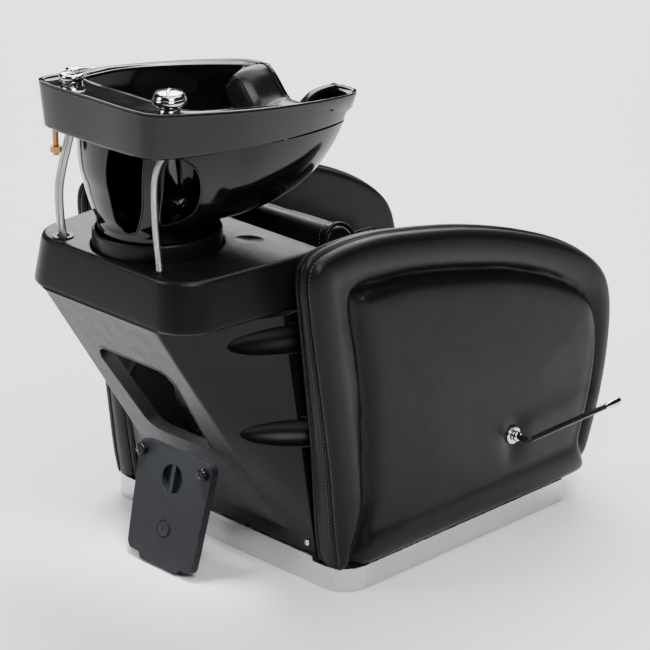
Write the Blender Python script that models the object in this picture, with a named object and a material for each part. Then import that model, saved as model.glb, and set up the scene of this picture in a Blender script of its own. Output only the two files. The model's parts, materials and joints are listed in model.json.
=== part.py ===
"""Shampoo backwash unit: reclining salon seat between two upholstered arms, with a tilting bowl behind it.

Metres, +Z up. The origin is the centre of the base's underside. +X is the sitter's left, -Y is the front
of the seat, where the leg rest hangs, and the bowl stands on the moulded housing at +Y.
"""

import math

import bmesh
import bpy
from mathutils import Matrix, Vector

GAP = 0.0003          # clearance between neighbours that would touch
RUN = 0.0004          # radial clearance of a pin in its hole

# Base and plinth
BASE_HALF_W = 0.3600
BASE_HALF_L = 0.3300
PLINTH_T = 0.0030
PLINTH_TOP = 0.0505
PLINTH_REAR_TOP = 0.0600  # between the arms
PLINTH_R = 0.0600
PLINTH_FRONT_R = 0.0060
PLATE_TOP = 0.0120

# Arms
ARM_OUT = 0.3520
ARM_IN = 0.2700
ARM_PAD_OUT = 0.3680
ARM_REAR_SLOPE = 0.160
ARM_BOTTOM = 0.0520
ARM_REAR_BOTTOM = 0.3180

# Seat
SEAT_HALF_W = 0.2600
SEAT_TOP = 0.4600
SEAT_FRONT = -0.3850
SEAT_BACK = 0.0700
BOARD_T = 0.0150
SEAT_BOARD_TOP = 0.3780
BACK_TOP = 0.7350
BACK_BOTTOM = 0.3850

# Housing
WALL = 0.0060
DECK_Z = 0.7000
BAND_Z = 0.6000
HOUSING_BOTTOM = 0.0640
HOUSING_FRONT = 0.2900
RAKE = 0.6230         # metres rearward for each metre up, on the raked rear wall
WALL_TOP_Y = 0.6420
WALL_HALF_W = 0.1680

# Bowl
TILT_Y = 0.4870
TILT_Z = 0.7250
NECK_R = 0.1170
COLLAR_IN = 0.1205
COLLAR_OUT = 0.1275
TRAY_R = 0.1340
TRAY_FLOOR = 0.6740
WASTE_Y = 0.4300
BOWL_FLOOR = 0.7850
LEDGE_Z = 1.0200
TAP_X = 0.0950
TAP_Y = 0.6100
STUB_X = 0.1300
STUB_Y = 0.6260
HANDSET_X = -0.1460
HANDSET_Y = 0.5760
SEAT_DROP = 0.0060     # the fittings' seats, below the ledge
SUPPLY_D = 0.0100
HANDSET_HOSE_D = 0.0140
DRAIN_HOSE_D = 0.0360
SUPPLY_HOLE = (0.150, 0.600, 0.0180)     # x, y, radius in the deck
HANDSET_HOLE = (-0.132, 0.598, 0.0120)
MIXER_LEVER_RISE = 0.0195
MIXER_LEVER_FALL = math.radians(8.0)

# The pedestal's two windows, each seen square on from outside (across, z)
PEDESTAL_REAR_WINDOW = [(-0.022, 0.928), (-0.037, 0.898), (-0.040, 0.860), (-0.034, 0.806), (-0.027, 0.770),
                        (-0.008, 0.754), (0.016, 0.757), (0.030, 0.785), (0.040, 0.830), (0.044, 0.890),
                        (0.042, 0.928), (0.010, 0.938)]
PEDESTAL_RIGHT_WINDOW = [(-0.036, 0.785), (-0.020, 0.780), (0.008, 0.791), (0.024, 0.804), (0.030, 0.830),
                         (0.031, 0.862), (0.022, 0.894), (0.004, 0.912), (-0.020, 0.922), (-0.035, 0.900),
                         (-0.038, 0.850)]

# Access panel, off the window and leaning with its tab on the floor
PANEL_FOOT_Y = 0.5080
PANEL_LEAN = math.radians(14.0)
PANEL_W = 0.2200
PANEL_H = 0.2440
PANEL_T = 0.0180
PANEL_FOOT_Z = 0.0005 + PANEL_T * math.sin(PANEL_LEAN)
PANEL_KNOB_X = 0.0920
PANEL_KNOB_V = 0.2230

# Side lever, on the sitter's right
LEVER_Y = -0.1550
LEVER_Z = 0.2080
LEVER_X = -0.4100
LEVER_TIP = (-0.4100, -0.3980, 0.2120)
LEVER_D = 0.0120

# Leg rest
LEG_Y = -0.4000
LEG_Z = 0.3450
LEG_HALF_W = 0.2480

MATERIALS = {
    "leather": ((0.012, 0.012, 0.014), 0.42, 0.0),
    "housing_plastic": ((0.020, 0.020, 0.022), 0.45, 0.0),
    "panel_plastic": ((0.040, 0.044, 0.052), 0.50, 0.0),
    "bowl_gloss": ((0.006, 0.006, 0.007), 0.08, 0.0),
    "stainless": ((0.72, 0.72, 0.72), 0.22, 1.0),
    "chrome": ((0.80, 0.80, 0.82), 0.06, 1.0),
    "braid": ((0.62, 0.62, 0.63), 0.35, 1.0),
    "brass": ((0.66, 0.47, 0.22), 0.30, 1.0),
    "rubber": ((0.015, 0.015, 0.016), 0.60, 0.0),
    "board": ((0.42, 0.29, 0.17), 0.70, 0.0),
    "black_steel": ((0.020, 0.020, 0.021), 0.30, 1.0),
    "drain_plastic": ((0.018, 0.018, 0.018), 0.50, 0.0),
}


def clear_scene():
    for obj in list(bpy.data.objects):
        bpy.data.objects.remove(obj, do_unlink=True)


def material(slot):
    found = bpy.data.materials.get(slot)
    if found:
        return found
    color, roughness, metallic = MATERIALS[slot]
    made = bpy.data.materials.new(slot)
    made.use_nodes = True
    shader = made.node_tree.nodes["Principled BSDF"]
    shader.inputs["Base Color"].default_value = (*color, 1.0)
    shader.inputs["Roughness"].default_value = roughness
    shader.inputs["Metallic"].default_value = metallic
    return made


def add_mesh(name, points, faces, slot, smooth=30.0):
    """An object from points and faces, its faces turned outward; slot None makes a cutter."""
    mesh = bpy.data.meshes.new(name)
    mesh.from_pydata([tuple(p) for p in points], [], faces)
    shape = bmesh.new()
    shape.from_mesh(mesh)
    bmesh.ops.recalc_face_normals(shape, faces=shape.faces)
    shape.to_mesh(mesh)
    shape.free()
    obj = bpy.data.objects.new(name, mesh)
    bpy.context.scene.collection.objects.link(obj)
    if slot is None:
        obj.hide_render = True
        obj.display_type = "WIRE"
        return obj
    mesh.materials.append(material(slot))
    mesh.shade_smooth()
    mesh.set_sharp_from_angle(angle=math.radians(smooth))
    return obj


def loft(name, rings, slot, smooth=30.0):
    """A closed body through rings of points; a ring of one point closes that end to a tip."""
    points = [p for ring in rings for p in ring]
    starts = [sum(len(r) for r in rings[:k]) for k in range(len(rings))]
    faces = []
    for k in range(len(rings) - 1):
        low, high = rings[k], rings[k + 1]
        a, b = starts[k], starts[k + 1]
        count = max(len(low), len(high))
        for i in range(count):
            j = (i + 1) % count
            if len(low) == 1:
                faces.append((a, b + j, b + i))
            elif len(high) == 1:
                faces.append((a + i, a + j, b))
            else:
                faces.append((a + i, a + j, b + j, b + i))
    if len(rings[0]) > 1:
        faces.append(tuple(reversed(range(starts[0], starts[0] + len(rings[0])))))
    if len(rings[-1]) > 1:
        faces.append(tuple(range(starts[-1], starts[-1] + len(rings[-1]))))
    return add_mesh(name, points, faces, slot, smooth)


def prism(name, outline, axis, low, high, slot, smooth=30.0):
    """A flat outline extruded along X, Y or Z. The outline gives the other two coordinates in order."""
    place = {
        "X": lambda p, d: (d, p[0], p[1]),
        "Y": lambda p, d: (p[0], d, p[1]),
        "Z": lambda p, d: (p[0], p[1], d),
    }[axis]
    return loft(name, [[place(p, d) for p in outline] for d in (low, high)], slot, smooth)


def box(name, low, high, slot):
    corners = [(low[0], low[1]), (high[0], low[1]), (high[0], high[1]), (low[0], high[1])]
    return prism(name, corners, "Z", low[2], high[2], slot)


def rounded(corners, steps=4):
    """An outline with its corners rounded. Each corner is (x, y, radius)."""
    outline = []
    for k, (x, y, radius) in enumerate(corners):
        here = Vector((x, y))
        if radius <= 0:
            outline.append((x, y))
            continue
        before = Vector(corners[k - 1][:2]) - here
        after = Vector(corners[(k + 1) % len(corners)][:2]) - here
        before.normalize()
        after.normalize()
        half = before.angle(after) / 2
        reach = radius / math.tan(half)
        centre = here + (before + after).normalized() * (radius / math.sin(half))
        start = here + before * reach - centre
        end = here + after * reach - centre
        for i in range(steps + 1):
            outline.append(tuple(centre + start.slerp(end, i / steps).normalized() * radius))
    return outline


def spline(points, steps, closed=True):
    """Points read from a smooth Catmull-Rom curve through the given ones."""
    count = len(points)
    spans = count if closed else count - 1
    read = []
    for k in range(spans):
        if closed:
            p = [Vector(points[(k + d) % count]) for d in (-1, 0, 1, 2)]
        else:
            p = [Vector(points[min(max(k + d, 0), count - 1)]) for d in (-1, 0, 1, 2)]
        for i in range(steps):
            t = i / steps
            read.append(0.5 * (2 * p[1] + (p[2] - p[0]) * t
                               + (2 * p[0] - 5 * p[1] + 4 * p[2] - p[3]) * t * t
                               + (3 * p[1] - p[0] - 3 * p[2] + p[3]) * t ** 3))
    if not closed:
        read.append(Vector(points[-1]))
    return read


def circle(radius, steps, z=0.0):
    return [(radius * math.cos(2 * math.pi * i / steps), radius * math.sin(2 * math.pi * i / steps), z)
            for i in range(steps)]


def turned(name, profile, place, slot, steps=24, axis="Z", smooth=30.0):
    """A solid of revolution. profile holds (radius, height) from one end to the other along the axis."""
    turn = {
        "Z": Matrix.Identity(4),
        "X": Matrix.Rotation(math.radians(90), 4, "Y"),
        "-X": Matrix.Rotation(math.radians(-90), 4, "Y"),
        "Y": Matrix.Rotation(math.radians(-90), 4, "X"),
    }
    frame = axis if isinstance(axis, Matrix) else turn[axis]
    frame = Matrix.Translation(place) @ frame
    rings = []
    for radius, height in profile:
        ring = circle(radius, steps, height) if radius > 0 else [(0, 0, height)]
        rings.append([tuple(frame @ Vector(p)) for p in ring])
    return loft(name, rings, slot, smooth)


def ring_of(name, profile, place, slot, steps=32, smooth=30.0):
    """A closed profile of (radius, height) turned about Z: a ring, dish or collar with a hole through it."""
    count = len(profile)
    points = []
    for i in range(steps):
        a = 2 * math.pi * i / steps
        points += [(place[0] + r * math.cos(a), place[1] + r * math.sin(a), place[2] + h) for r, h in profile]
    faces = []
    for i in range(steps):
        j = (i + 1) % steps
        for k in range(count):
            m = (k + 1) % count
            faces.append((i * count + k, j * count + k, j * count + m, i * count + m))
    return add_mesh(name, points, faces, slot, smooth)


def tube(name, route, diameter, slot, sides=2, steps=3):
    """A hose or rod along a smooth curve through the route's points."""
    curve = bpy.data.curves.new(name, "CURVE")
    curve.dimensions = "3D"
    curve.bevel_depth = diameter / 2
    curve.bevel_resolution = sides
    curve.use_fill_caps = True
    line = curve.splines.new("POLY")
    points = spline(route, steps, closed=False)
    line.points.add(len(points) - 1)
    for spot, point in zip(line.points, points):
        spot.co = (*point, 1.0)
    curve.materials.append(material(slot))
    obj = bpy.data.objects.new(name, curve)
    bpy.context.scene.collection.objects.link(obj)
    return obj


def cut(obj, cutter, operation="DIFFERENCE"):
    step = obj.modifiers.new(operation.title(), "BOOLEAN")
    step.operation = operation
    step.object = cutter
    return obj


def bevel(obj, width, segments=2, angle=40.0):
    step = obj.modifiers.new("Bevel", "BEVEL")
    step.width = width
    step.segments = segments
    step.limit_method = "ANGLE"
    step.angle_limit = math.radians(angle)
    step.use_clamp_overlap = True
    return obj


def make_base():
    inner_w = BASE_HALF_W - PLINTH_T - GAP
    inner_l = BASE_HALF_L - PLINTH_T - GAP
    front_radius, rear_radius = PLINTH_FRONT_R - PLINTH_T, PLINTH_R - PLINTH_T
    plate = rounded([(-inner_w, -inner_l, front_radius), (inner_w, -inner_l, front_radius),
                     (inner_w, inner_l, rear_radius), (-inner_w, inner_l, rear_radius)])
    prism("base_plate", plate, "Z", 0.0, PLATE_TOP, "black_steel")

    joint_y = BASE_HALF_L - 0.09
    for name, sign, bend in (("plinth_rear", 1, PLINTH_R), ("plinth_front", -1, PLINTH_FRONT_R)):
        outer = rounded([(-BASE_HALF_W, sign * joint_y, 0), (-BASE_HALF_W, sign * BASE_HALF_L, bend),
                         (BASE_HALF_W, sign * BASE_HALF_L, bend), (BASE_HALF_W, sign * joint_y, 0)])
        w, l = BASE_HALF_W - PLINTH_T, BASE_HALF_L - PLINTH_T
        inner = rounded([(w, sign * joint_y, 0), (w, sign * l, bend - PLINTH_T),
                         (-w, sign * l, bend - PLINTH_T), (-w, sign * joint_y, 0)])
        strip = prism(name, outer + inner, "Z", 0.0005, PLINTH_TOP, "stainless")
        if sign > 0:
            rise = box("plinth_rise_cutter", (-0.268, l, 0.020), (0.268, BASE_HALF_L, PLINTH_REAR_TOP), None)
            cut(strip, rise, "UNION")
    for name, sign in (("plinth_right", -1), ("plinth_left", 1)):
        xs = sorted((sign * (BASE_HALF_W - PLINTH_T), sign * BASE_HALF_W))
        box(name, (xs[0], -joint_y + GAP, 0.0005), (xs[1], joint_y - GAP, PLINTH_TOP), "stainless")


def arm_outline(inset=0.0):
    """The arm's side view (y, z): upright rear edge leaning back, arched top, rounded front."""
    low = ARM_BOTTOM
    points = [(0.312, low + 0.003), (0.326, low + 0.023), (0.352, 0.300), (0.380, 0.480), (0.404, 0.620),
              (0.410, 0.680), (0.396, 0.716), (0.350, 0.729), (0.160, 0.720), (-0.020, 0.682),
              (-0.200, 0.627), (-0.350, 0.563), (-0.445, 0.498), (-0.474, 0.430), (-0.470, 0.330),
              (-0.452, 0.210), (-0.420, 0.110), (-0.398, low + 0.010), (-0.370, low), (0.100, low)]
    if inset:
        centre = Vector((-0.035, 0.355))
        moved = []
        for y, z in points:
            from_centre = Vector((y, z)) - centre
            scale = Vector((1 - inset / 0.40, 1 - inset / 0.34))
            moved.append(tuple(centre + from_centre * scale))
        points = moved
    return [tuple(p) for p in spline(points, 2)]


def make_arm(side, sign):
    low, high = sorted((sign * ARM_IN, sign * ARM_OUT))
    arm = prism("arm_" + side, arm_outline(), "X", low, high, "leather")
    bevel(arm, 0.014, 2)
    low, high = sorted((sign * (ARM_OUT + GAP), sign * ARM_PAD_OUT))
    pad = prism("arm_pad_" + side, arm_outline(0.050), "X", low, high, "leather")
    bevel(pad, 0.008, 2)


def make_seat():
    w = SEAT_HALF_W
    rail_half = ARM_IN - GAP
    rail_top = SEAT_BOARD_TOP - BOARD_T - GAP
    for name, y in (("seat_rail_front", -0.350), ("seat_rail_rear", 0.030)):
        box(name, (-rail_half, y - 0.020, rail_top - 0.030), (rail_half, y + 0.020, rail_top), "black_steel")
    box("seat_board", (-w, SEAT_FRONT + 0.010, SEAT_BOARD_TOP - BOARD_T), (w, SEAT_BACK, SEAT_BOARD_TOP), "board")
    seat = box("seat_cushion", (-w, SEAT_FRONT, SEAT_BOARD_TOP + GAP), (w, SEAT_BACK, SEAT_TOP), "leather")
    bevel(seat, 0.022, 3)

    lean = 0.123 / 0.36
    def slab(name, front, rear, top, slot):
        low_y = (BACK_BOTTOM - 0.38) * lean
        high_y = (top - 0.38) * lean
        side = [(front + low_y, BACK_BOTTOM), (rear + low_y, BACK_BOTTOM),
                (rear + high_y, top), (front + high_y, top)]
        return prism(name, side, "X", -w, w, slot)
    slab("backrest_board", 0.1503, 0.1650, BACK_TOP - 0.030, "board")
    bevel(slab("backrest_cushion", 0.0750, 0.1500, BACK_TOP, "leather"), 0.020, 3)


def wall_y(z):
    """The raked rear wall's y at a height; below the knee it stands upright over the plinth."""
    return max(WALL_TOP_Y - RAKE * (BAND_Z - z), BASE_HALF_L - 0.002)


def housing_ring(z, grow=0.0, band=False, front=HOUSING_FRONT):
    """One level of the housing, as corners with fillets, from the front round the back to the front."""
    if band:
        flare = 0.014 * (DECK_Z - z) / (DECK_Z - BAND_Z)
        side = (0.252 + flare + grow, 0.360)
        corner = (0.226 + flare + grow, 0.628 + flare + grow)
        radius = 0.080 + grow
    else:
        side = (ARM_IN - 0.002 + grow, ARM_REAR_BOTTOM + ARM_REAR_SLOPE * (z - ARM_BOTTOM))
        corner = (WALL_HALF_W + grow * 0.8, wall_y(z) + grow)
        radius = 0.012
    half = [(side[0], front, 0), (side[0], side[1], 0.004), (corner[0], corner[1], radius)]
    ring = half + [(-x, y, r) for x, y, r in reversed(half)]
    return [(x, y, z) for x, y in rounded(ring)]


def make_housing():
    knee = BAND_Z - (WALL_TOP_Y - (BASE_HALF_L - 0.002)) / RAKE
    lip = 0.002           # step under the band
    outer = [housing_ring(HOUSING_BOTTOM), housing_ring(knee), housing_ring(BAND_Z - lip),
             housing_ring(BAND_Z, band=True), housing_ring(DECK_Z - 0.004, band=True),
             housing_ring(DECK_Z, grow=-0.003, band=True)]
    housing = loft("housing", outer, "housing_plastic", 25.0)
    below = HOUSING_BOTTOM - 0.02
    ahead = HOUSING_FRONT - 0.03
    inner = [housing_ring(below, -WALL, front=ahead), housing_ring(knee, -WALL, front=ahead),
             housing_ring(BAND_Z - lip, -WALL, front=ahead),
             housing_ring(BAND_Z + WALL, -WALL, band=True, front=ahead),
             housing_ring(DECK_Z - WALL, -WALL, band=True, front=ahead)]
    cut(housing, loft("housing_inside_cutter", inner, None))

    for name, (x, y, radius), steps in (("tray_hole_cutter", (0.0, TILT_Y, TRAY_R + GAP), 48),
                                        ("supply_hole_cutter", SUPPLY_HOLE, 16),
                                        ("handset_hole_cutter", HANDSET_HOLE, 16)):
        cut(housing, turned(name, [(radius, -0.03), (radius, 0.03)], (x, y, DECK_Z), None, steps))

    window = prism("window_cutter", window_outline(0.0), "Y", 0.30, 0.60, None)
    cut(housing, window)

    trim_points = window_outline(-GAP)
    inner_points = window_outline(-0.0045)
    rings = []
    for outline, depth in ((trim_points, 0.0), (trim_points, -0.016),
                           (inner_points, -0.016), (inner_points, 0.0)):
        rings.append([(x, wall_y(z) - 0.001 + depth, z) for x, z in outline])
    points = [p for ring in rings for p in ring]
    count = len(trim_points)
    faces = []
    for k in range(4):
        for i in range(count):
            j = (i + 1) % count
            m = (k + 1) % 4
            faces.append((k * count + i, k * count + j, m * count + j, m * count + i))
    add_mesh("window_trim", points, faces, "housing_plastic")

    for sign, side in ((-1, "right"), (1, "left")):
        place = (sign * 0.250, BASE_HALF_L - 0.0040, 0.083)
        turned("housing_screw_" + side, [(0.0030, -0.010), (0.0030, 0.0), (0.0065, 0.0003), (0.0050, 0.0030),
                                         (0, 0.0034)], place, "chrome", 12, "Y")
        cut(housing, turned("screw_hole_cutter_" + side, [(0.0034, -0.02), (0.0034, 0.02)], place, None, 12, "Y"))


def window_outline(grow):
    """The window in the raked wall, in front view (x, z): a wide rounded opening that narrows downward."""
    top, low = 0.478 + grow, 0.262 - grow
    wide, narrow = 0.120 + grow, 0.098 + grow
    return rounded([(-narrow, low, 0.020), (narrow, low, 0.020), (wide, top, 0.030), (-wide, top, 0.030)])


def make_deck_fittings():
    floor = TRAY_FLOOR
    profile = [(0.100, floor), (TRAY_R, floor), (TRAY_R, DECK_Z), (TRAY_R - 0.004, DECK_Z),
               (TRAY_R - 0.006, floor + 0.006), (COLLAR_OUT, floor + 0.006), (COLLAR_OUT, 0.733),
               (COLLAR_IN, 0.733), (COLLAR_IN, floor + 0.006), (0.100, floor + 0.006)]
    collar = ring_of("deck_collar", profile, (0, TILT_Y, 0), "housing_plastic", 40)
    for sign, side in ((-1, "right"), (1, "left")):
        ear = rounded([(TILT_Y - 0.014, floor + 0.003, 0), (TILT_Y + 0.014, floor + 0.003, 0),
                       (TILT_Y + 0.014, TILT_Z + 0.014, 0.012), (TILT_Y - 0.014, TILT_Z + 0.014, 0.012)])
        low, high = sorted((sign * 0.103, sign * 0.108))
        cut(collar, prism("tilt_ear_cutter_" + side, ear, "X", low, high, None), "UNION")
    cut(collar, turned("tilt_bore_cutter", [(0.0060 + RUN, -0.112), (0.0060 + RUN, 0.112)],
                       (0, TILT_Y, TILT_Z), None, 12, "X"))
    turned("tilt_pin", [(0.0060, -0.1165), (0.0060, 0.1165)], (0, TILT_Y, TILT_Z), "stainless", 12, "X")

    for name, (x, y, hole), slit in (("supply_grommet", SUPPLY_HOLE, 0.0132),
                                     ("handset_grommet", HANDSET_HOLE, 0.0090)):
        ring_of(name, [(slit, -WALL - 0.002), (hole - GAP, -WALL - 0.002), (hole - GAP, GAP),
                       (hole + 0.004, GAP), (hole + 0.003, 0.0030), (slit, 0.0030)],
                (x, y, DECK_Z), "rubber", 16)


def bowl_ring(front, rear, half, z_front, z_rear, grow=0.0, steps=2):
    """One level of the bowl: a rounded outline, widest past its middle, on a plane that falls to the front."""
    front -= grow
    rear += grow
    half += grow
    length = rear - front
    middle = front + 0.50 * length
    side = [(0.0, rear), (0.56 * half, rear), (0.80 * half, rear - 0.03 * length),
            (0.90 * half, rear - 0.14 * length),
            (half, middle + 0.10 * length), (0.97 * half, middle - 0.18 * length),
            (0.86 * half, front + 0.10 * length), (0.72 * half, front + 0.012 * length), (0.0, front)]
    points = side + [(-x, y) for x, y in reversed(side[1:-1])]
    ring = []
    for x, y in spline(points, steps):
        blend = (y - front) / length
        ring.append((x, y, z_front + (z_rear - z_front) * blend))
    return ring


def bowl_outer(name, slot, grow=0.0):
    levels = [(0.086, 0.650, 0.208, 0.957, 1.026), (0.116, 0.644, 0.200, 0.905, 0.936),
              (0.122, 0.600, 0.196, 0.898, 0.930), (0.152, 0.556, 0.186, 0.866, 0.890),
              (0.215, 0.535, 0.158, 0.820, 0.826), (0.290, 0.515, 0.118, 0.784, 0.776),
              (0.360, 0.500, 0.070, 0.766, 0.764)]
    rings = [bowl_ring(*level, grow=grow) for level in levels]
    rings[-1] = [(x, y, z - grow) for x, y, z in rings[-1]]
    return loft(name, rings, slot, 40.0)


def neck_outline(grow=0.0, top=1.000):
    """The neck notch in front view (x, z): a round-bottomed U between the bowl's horns."""
    half, low = 0.098 + grow, 0.893 - grow
    return rounded([(-half - 0.012, top, 0), (-half, 0.940, 0.02), (-half + 0.02, low, 0.055),
                    (half - 0.02, low, 0.055), (half, 0.940, 0.02), (half + 0.012, top, 0)])


def make_bowl():
    bowl = bowl_outer("bowl_basin", "bowl_gloss")
    levels = [(0.100, 0.548, 0.194, 1.060, 1.100), (0.100, 0.548, 0.192, 0.950, 1.010),
              (0.136, 0.542, 0.184, 0.906, 0.930), (0.165, 0.535, 0.172, 0.874, 0.884),
              (0.226, 0.520, 0.144, 0.834, 0.834), (0.300, 0.500, 0.104, 0.798, 0.796),
              (0.355, 0.490, 0.064, BOWL_FLOOR, BOWL_FLOOR)]
    cut(bowl, loft("basin_cutter", [bowl_ring(*level) for level in levels], None))
    cut(bowl, prism("neck_cutter", neck_outline(GAP, 1.05), "Y", 0.020, 0.205, None))
    pocket = rounded([(-0.166, 0.5570, 0.01), (0.166, 0.5570, 0.01), (0.142, 0.6380, 0.02),
                      (-0.142, 0.6380, 0.02)])
    cut(bowl, prism("ledge_pocket_cutter", pocket, "Z", 0.860, 1.003, None))
    for name, x, y, radius, low, high in (("waste_hole_cutter", 0, WASTE_Y, 0.0205, 0.74, 0.80),
                                          ("tap_hole_cutter", TAP_X, TAP_Y, 0.0125, 0.95, 1.06),
                                          ("handset_bore_cutter", HANDSET_X, HANDSET_Y, 0.0160, 0.95, 1.06)):
        cut(bowl, turned(name, [(radius, low), (radius, high)], (x, y, 0), None, 16))
    for name, x, y, radius in (("tap_seat_cutter", TAP_X, TAP_Y, 0.030),
                               ("holder_seat_cutter", HANDSET_X, HANDSET_Y, 0.024)):
        cut(bowl, turned(name, [(radius, LEDGE_Z - SEAT_DROP), (radius, LEDGE_Z + 0.04)], (x, y, 0), None, 24))

    make_pedestal()

    outer, inner = neck_outline(), neck_outline(-0.016)
    outer = outer[1:-1]
    inner = inner[1:-1]
    prism("neck_rest", outer + list(reversed(inner)), "Y", 0.100, 0.195, "rubber")

    ring_of("waste_flange", [(0.0130, -0.004), (0.0180, -0.004), (0.0180, GAP), (0.0350, GAP), (0.0350, 0.0015),
                             (0.0300, 0.0030), (0.0130, 0.0030)], (0, WASTE_Y, BOWL_FLOOR), "chrome", 24)
    turned("waste_strainer", [(0.0110, -0.010), (0.0126, -0.0020), (0.0126, 0.0030), (0.0080, 0.0060), (0, 0.0065)],
           (0, WASTE_Y, BOWL_FLOOR), "chrome", 20)
    ring_of("waste_tailpipe", [(0.0160, 0.690), (0.0195, 0.690), (0.0195, 0.7805), (0.0160, 0.7805)],
            (0, WASTE_Y, 0), "chrome", 20)
    ring_of("waste_nut", [(0.0206, 0.7500), (0.0300, 0.7500), (0.0300, 0.7630), (0.0206, 0.7630)],
            (0, WASTE_Y, 0), "drain_plastic", 12)


def make_pedestal():
    """The funnel under the bowl: a round neck that turns in the collar, flaring to the bowl's underside."""
    steps = 32

    def level(half, front, rear, z):
        middle, length = (front + rear) / 2, (rear - front) / 2
        return [(half * math.cos(2 * math.pi * i / steps), middle + length * math.sin(2 * math.pi * i / steps), z)
                for i in range(steps)]

    def skin(name, inset, low, high, slot):
        rings = []
        for turn in (-7, 0, 7):
            z = TILT_Z + NECK_R * math.sin(math.radians(turn))
            radius = NECK_R * math.cos(math.radians(turn)) - inset
            z = low if turn == -7 and low < z else z
            rings.append(level(radius, TILT_Y - radius, TILT_Y + radius, z))
        for half, front, rear, z in ((0.118, 0.370, 0.604, 0.758), (0.138, 0.355, 0.612, 0.795),
                                     (0.172, 0.330, 0.622, 0.850), (0.186, 0.300, 0.622, high)):
            rings.append(level(half - inset, front + inset, rear - inset, z))
        return loft(name, rings, slot, 40.0)

    pedestal = skin("bowl_pedestal", 0.0, 0.711, 0.930, "bowl_gloss")
    cut(pedestal, skin("pedestal_inside_cutter", 0.0050, 0.690, 0.960, None))
    cut(pedestal, bowl_outer("bowl_envelope_cutter", None, GAP))
    for name, heading, outline in (("rear_window_cutter", 112, PEDESTAL_REAR_WINDOW),
                                   ("right_window_cutter", 158, PEDESTAL_RIGHT_WINDOW)):
        outward = Vector((math.cos(math.radians(heading)), math.sin(math.radians(heading)), 0))
        across = outward.cross(Vector((0, 0, 1))) * -1
        axis = Vector((0, TILT_Y, 0))
        read = spline(outline, 2)
        rings = [[tuple(axis + across * t + Vector((0, 0, z)) + outward * depth) for t, z in read]
                 for depth in (0.07, 0.25)]
        cut(pedestal, loft(name, rings, None))
    cut(pedestal, turned("neck_bore_cutter", [(0.0060 + RUN, -0.13), (0.0060 + RUN, 0.13)],
                         (0, TILT_Y, TILT_Z), None, 12, "X"))


def make_mixer():
    seat_z = LEDGE_Z - SEAT_DROP + GAP
    body_h, cap_h = 0.0180, 0.0130
    turned("mixer_body", [(0.0120, -0.034), (0.0120, -GAP), (0.0120, 0), (0.0265, 0), (0.0260, 0.0040),
                          (0.0235, 0.0070), (0.0235, body_h)], (TAP_X, TAP_Y, seat_z), "chrome", 24)
    cap_z = seat_z + body_h + GAP
    turned("mixer_cap", [(0.0235, 0), (0.0245, 0.0030), (0.0240, 0.0100), (0.0190, cap_h)],
           (TAP_X, TAP_Y, cap_z), "chrome", 24)
    blade = rounded([(-0.0060, -0.0600, 0.0050), (0.0060, -0.0600, 0.0050), (0.0140, 0.0100, 0.0080),
                     (-0.0140, 0.0100, 0.0080)])
    place = Matrix.Translation((TAP_X, TAP_Y, cap_z + MIXER_LEVER_RISE)) @ Matrix.Rotation(MIXER_LEVER_FALL, 4, "X")
    rings = [[tuple(place @ Vector((x, y, z))) for x, y in blade] for z in (-0.0030, 0.0050)]
    bevel(loft("mixer_lever", rings, "chrome"), 0.0020, 1)

    ring_of("mixer_nut", [(0.0142, 0.9925), (0.0190, 0.9925), (0.0190, 1.0025), (0.0142, 1.0025)],
            (TAP_X, TAP_Y, 0), "brass", 6)
    turned("mixer_stub", [(0.0060, 0.878), (0.0060, 1.0027)], (STUB_X, STUB_Y, 0), "brass", 12)
    ring_of("stub_nut", [(0.0074, 0.884), (0.0115, 0.884), (0.0115, 0.896), (0.0074, 0.896)],
            (STUB_X, STUB_Y, 0), "brass", 6)


def make_handset():
    ring_of("handset_holder", [(0.0134, -0.020), (0.0156, -0.020), (0.0156, GAP), (0.0220, GAP), (0.0200, 0.0070),
                               (0.0134, 0.0080)], (HANDSET_X, HANDSET_Y, LEDGE_Z - SEAT_DROP), "chrome", 20)
    turned("handset", [(0.0090, 0.962), (0.0130, 0.974), (0.0130, 1.0225), (0.0180, 1.0240), (0.0290, 1.0300),
                       (0.0325, 1.0370), (0.0310, 1.0450), (0.0220, 1.0505), (0, 1.0525)],
           (HANDSET_X, HANDSET_Y, 0), "chrome", 24)


def supply_route(shift):
    """A supply hose: under the tap, down through the deck, across behind the window, to its valve."""
    return [(TAP_X + shift, TAP_Y, 0.9770), (TAP_X + shift, TAP_Y, 0.9570), (0.108 + shift, 0.607, 0.925),
            (0.125 + shift, 0.605, 0.885), (0.138 + shift, 0.605, 0.850), (0.152 + shift, 0.606, 0.800),
            (0.155 + shift, 0.604, 0.740), (0.150 + shift, 0.600, 0.700),
            (0.146 + shift, 0.592, 0.650), (0.132 + shift, 0.555, 0.590), (0.100 + shift, 0.490, 0.500),
            (0.066 + shift, 0.425, 0.400), (0.030 + shift, 0.370, 0.310), (0.000 + shift, 0.320, 0.230),
            (-0.016 + 2 * shift, 0.286, 0.160), (-0.020 + 4 * shift, 0.280, 0.110),
            (-0.020 + 4 * shift, 0.280, 0.0970)]


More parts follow.
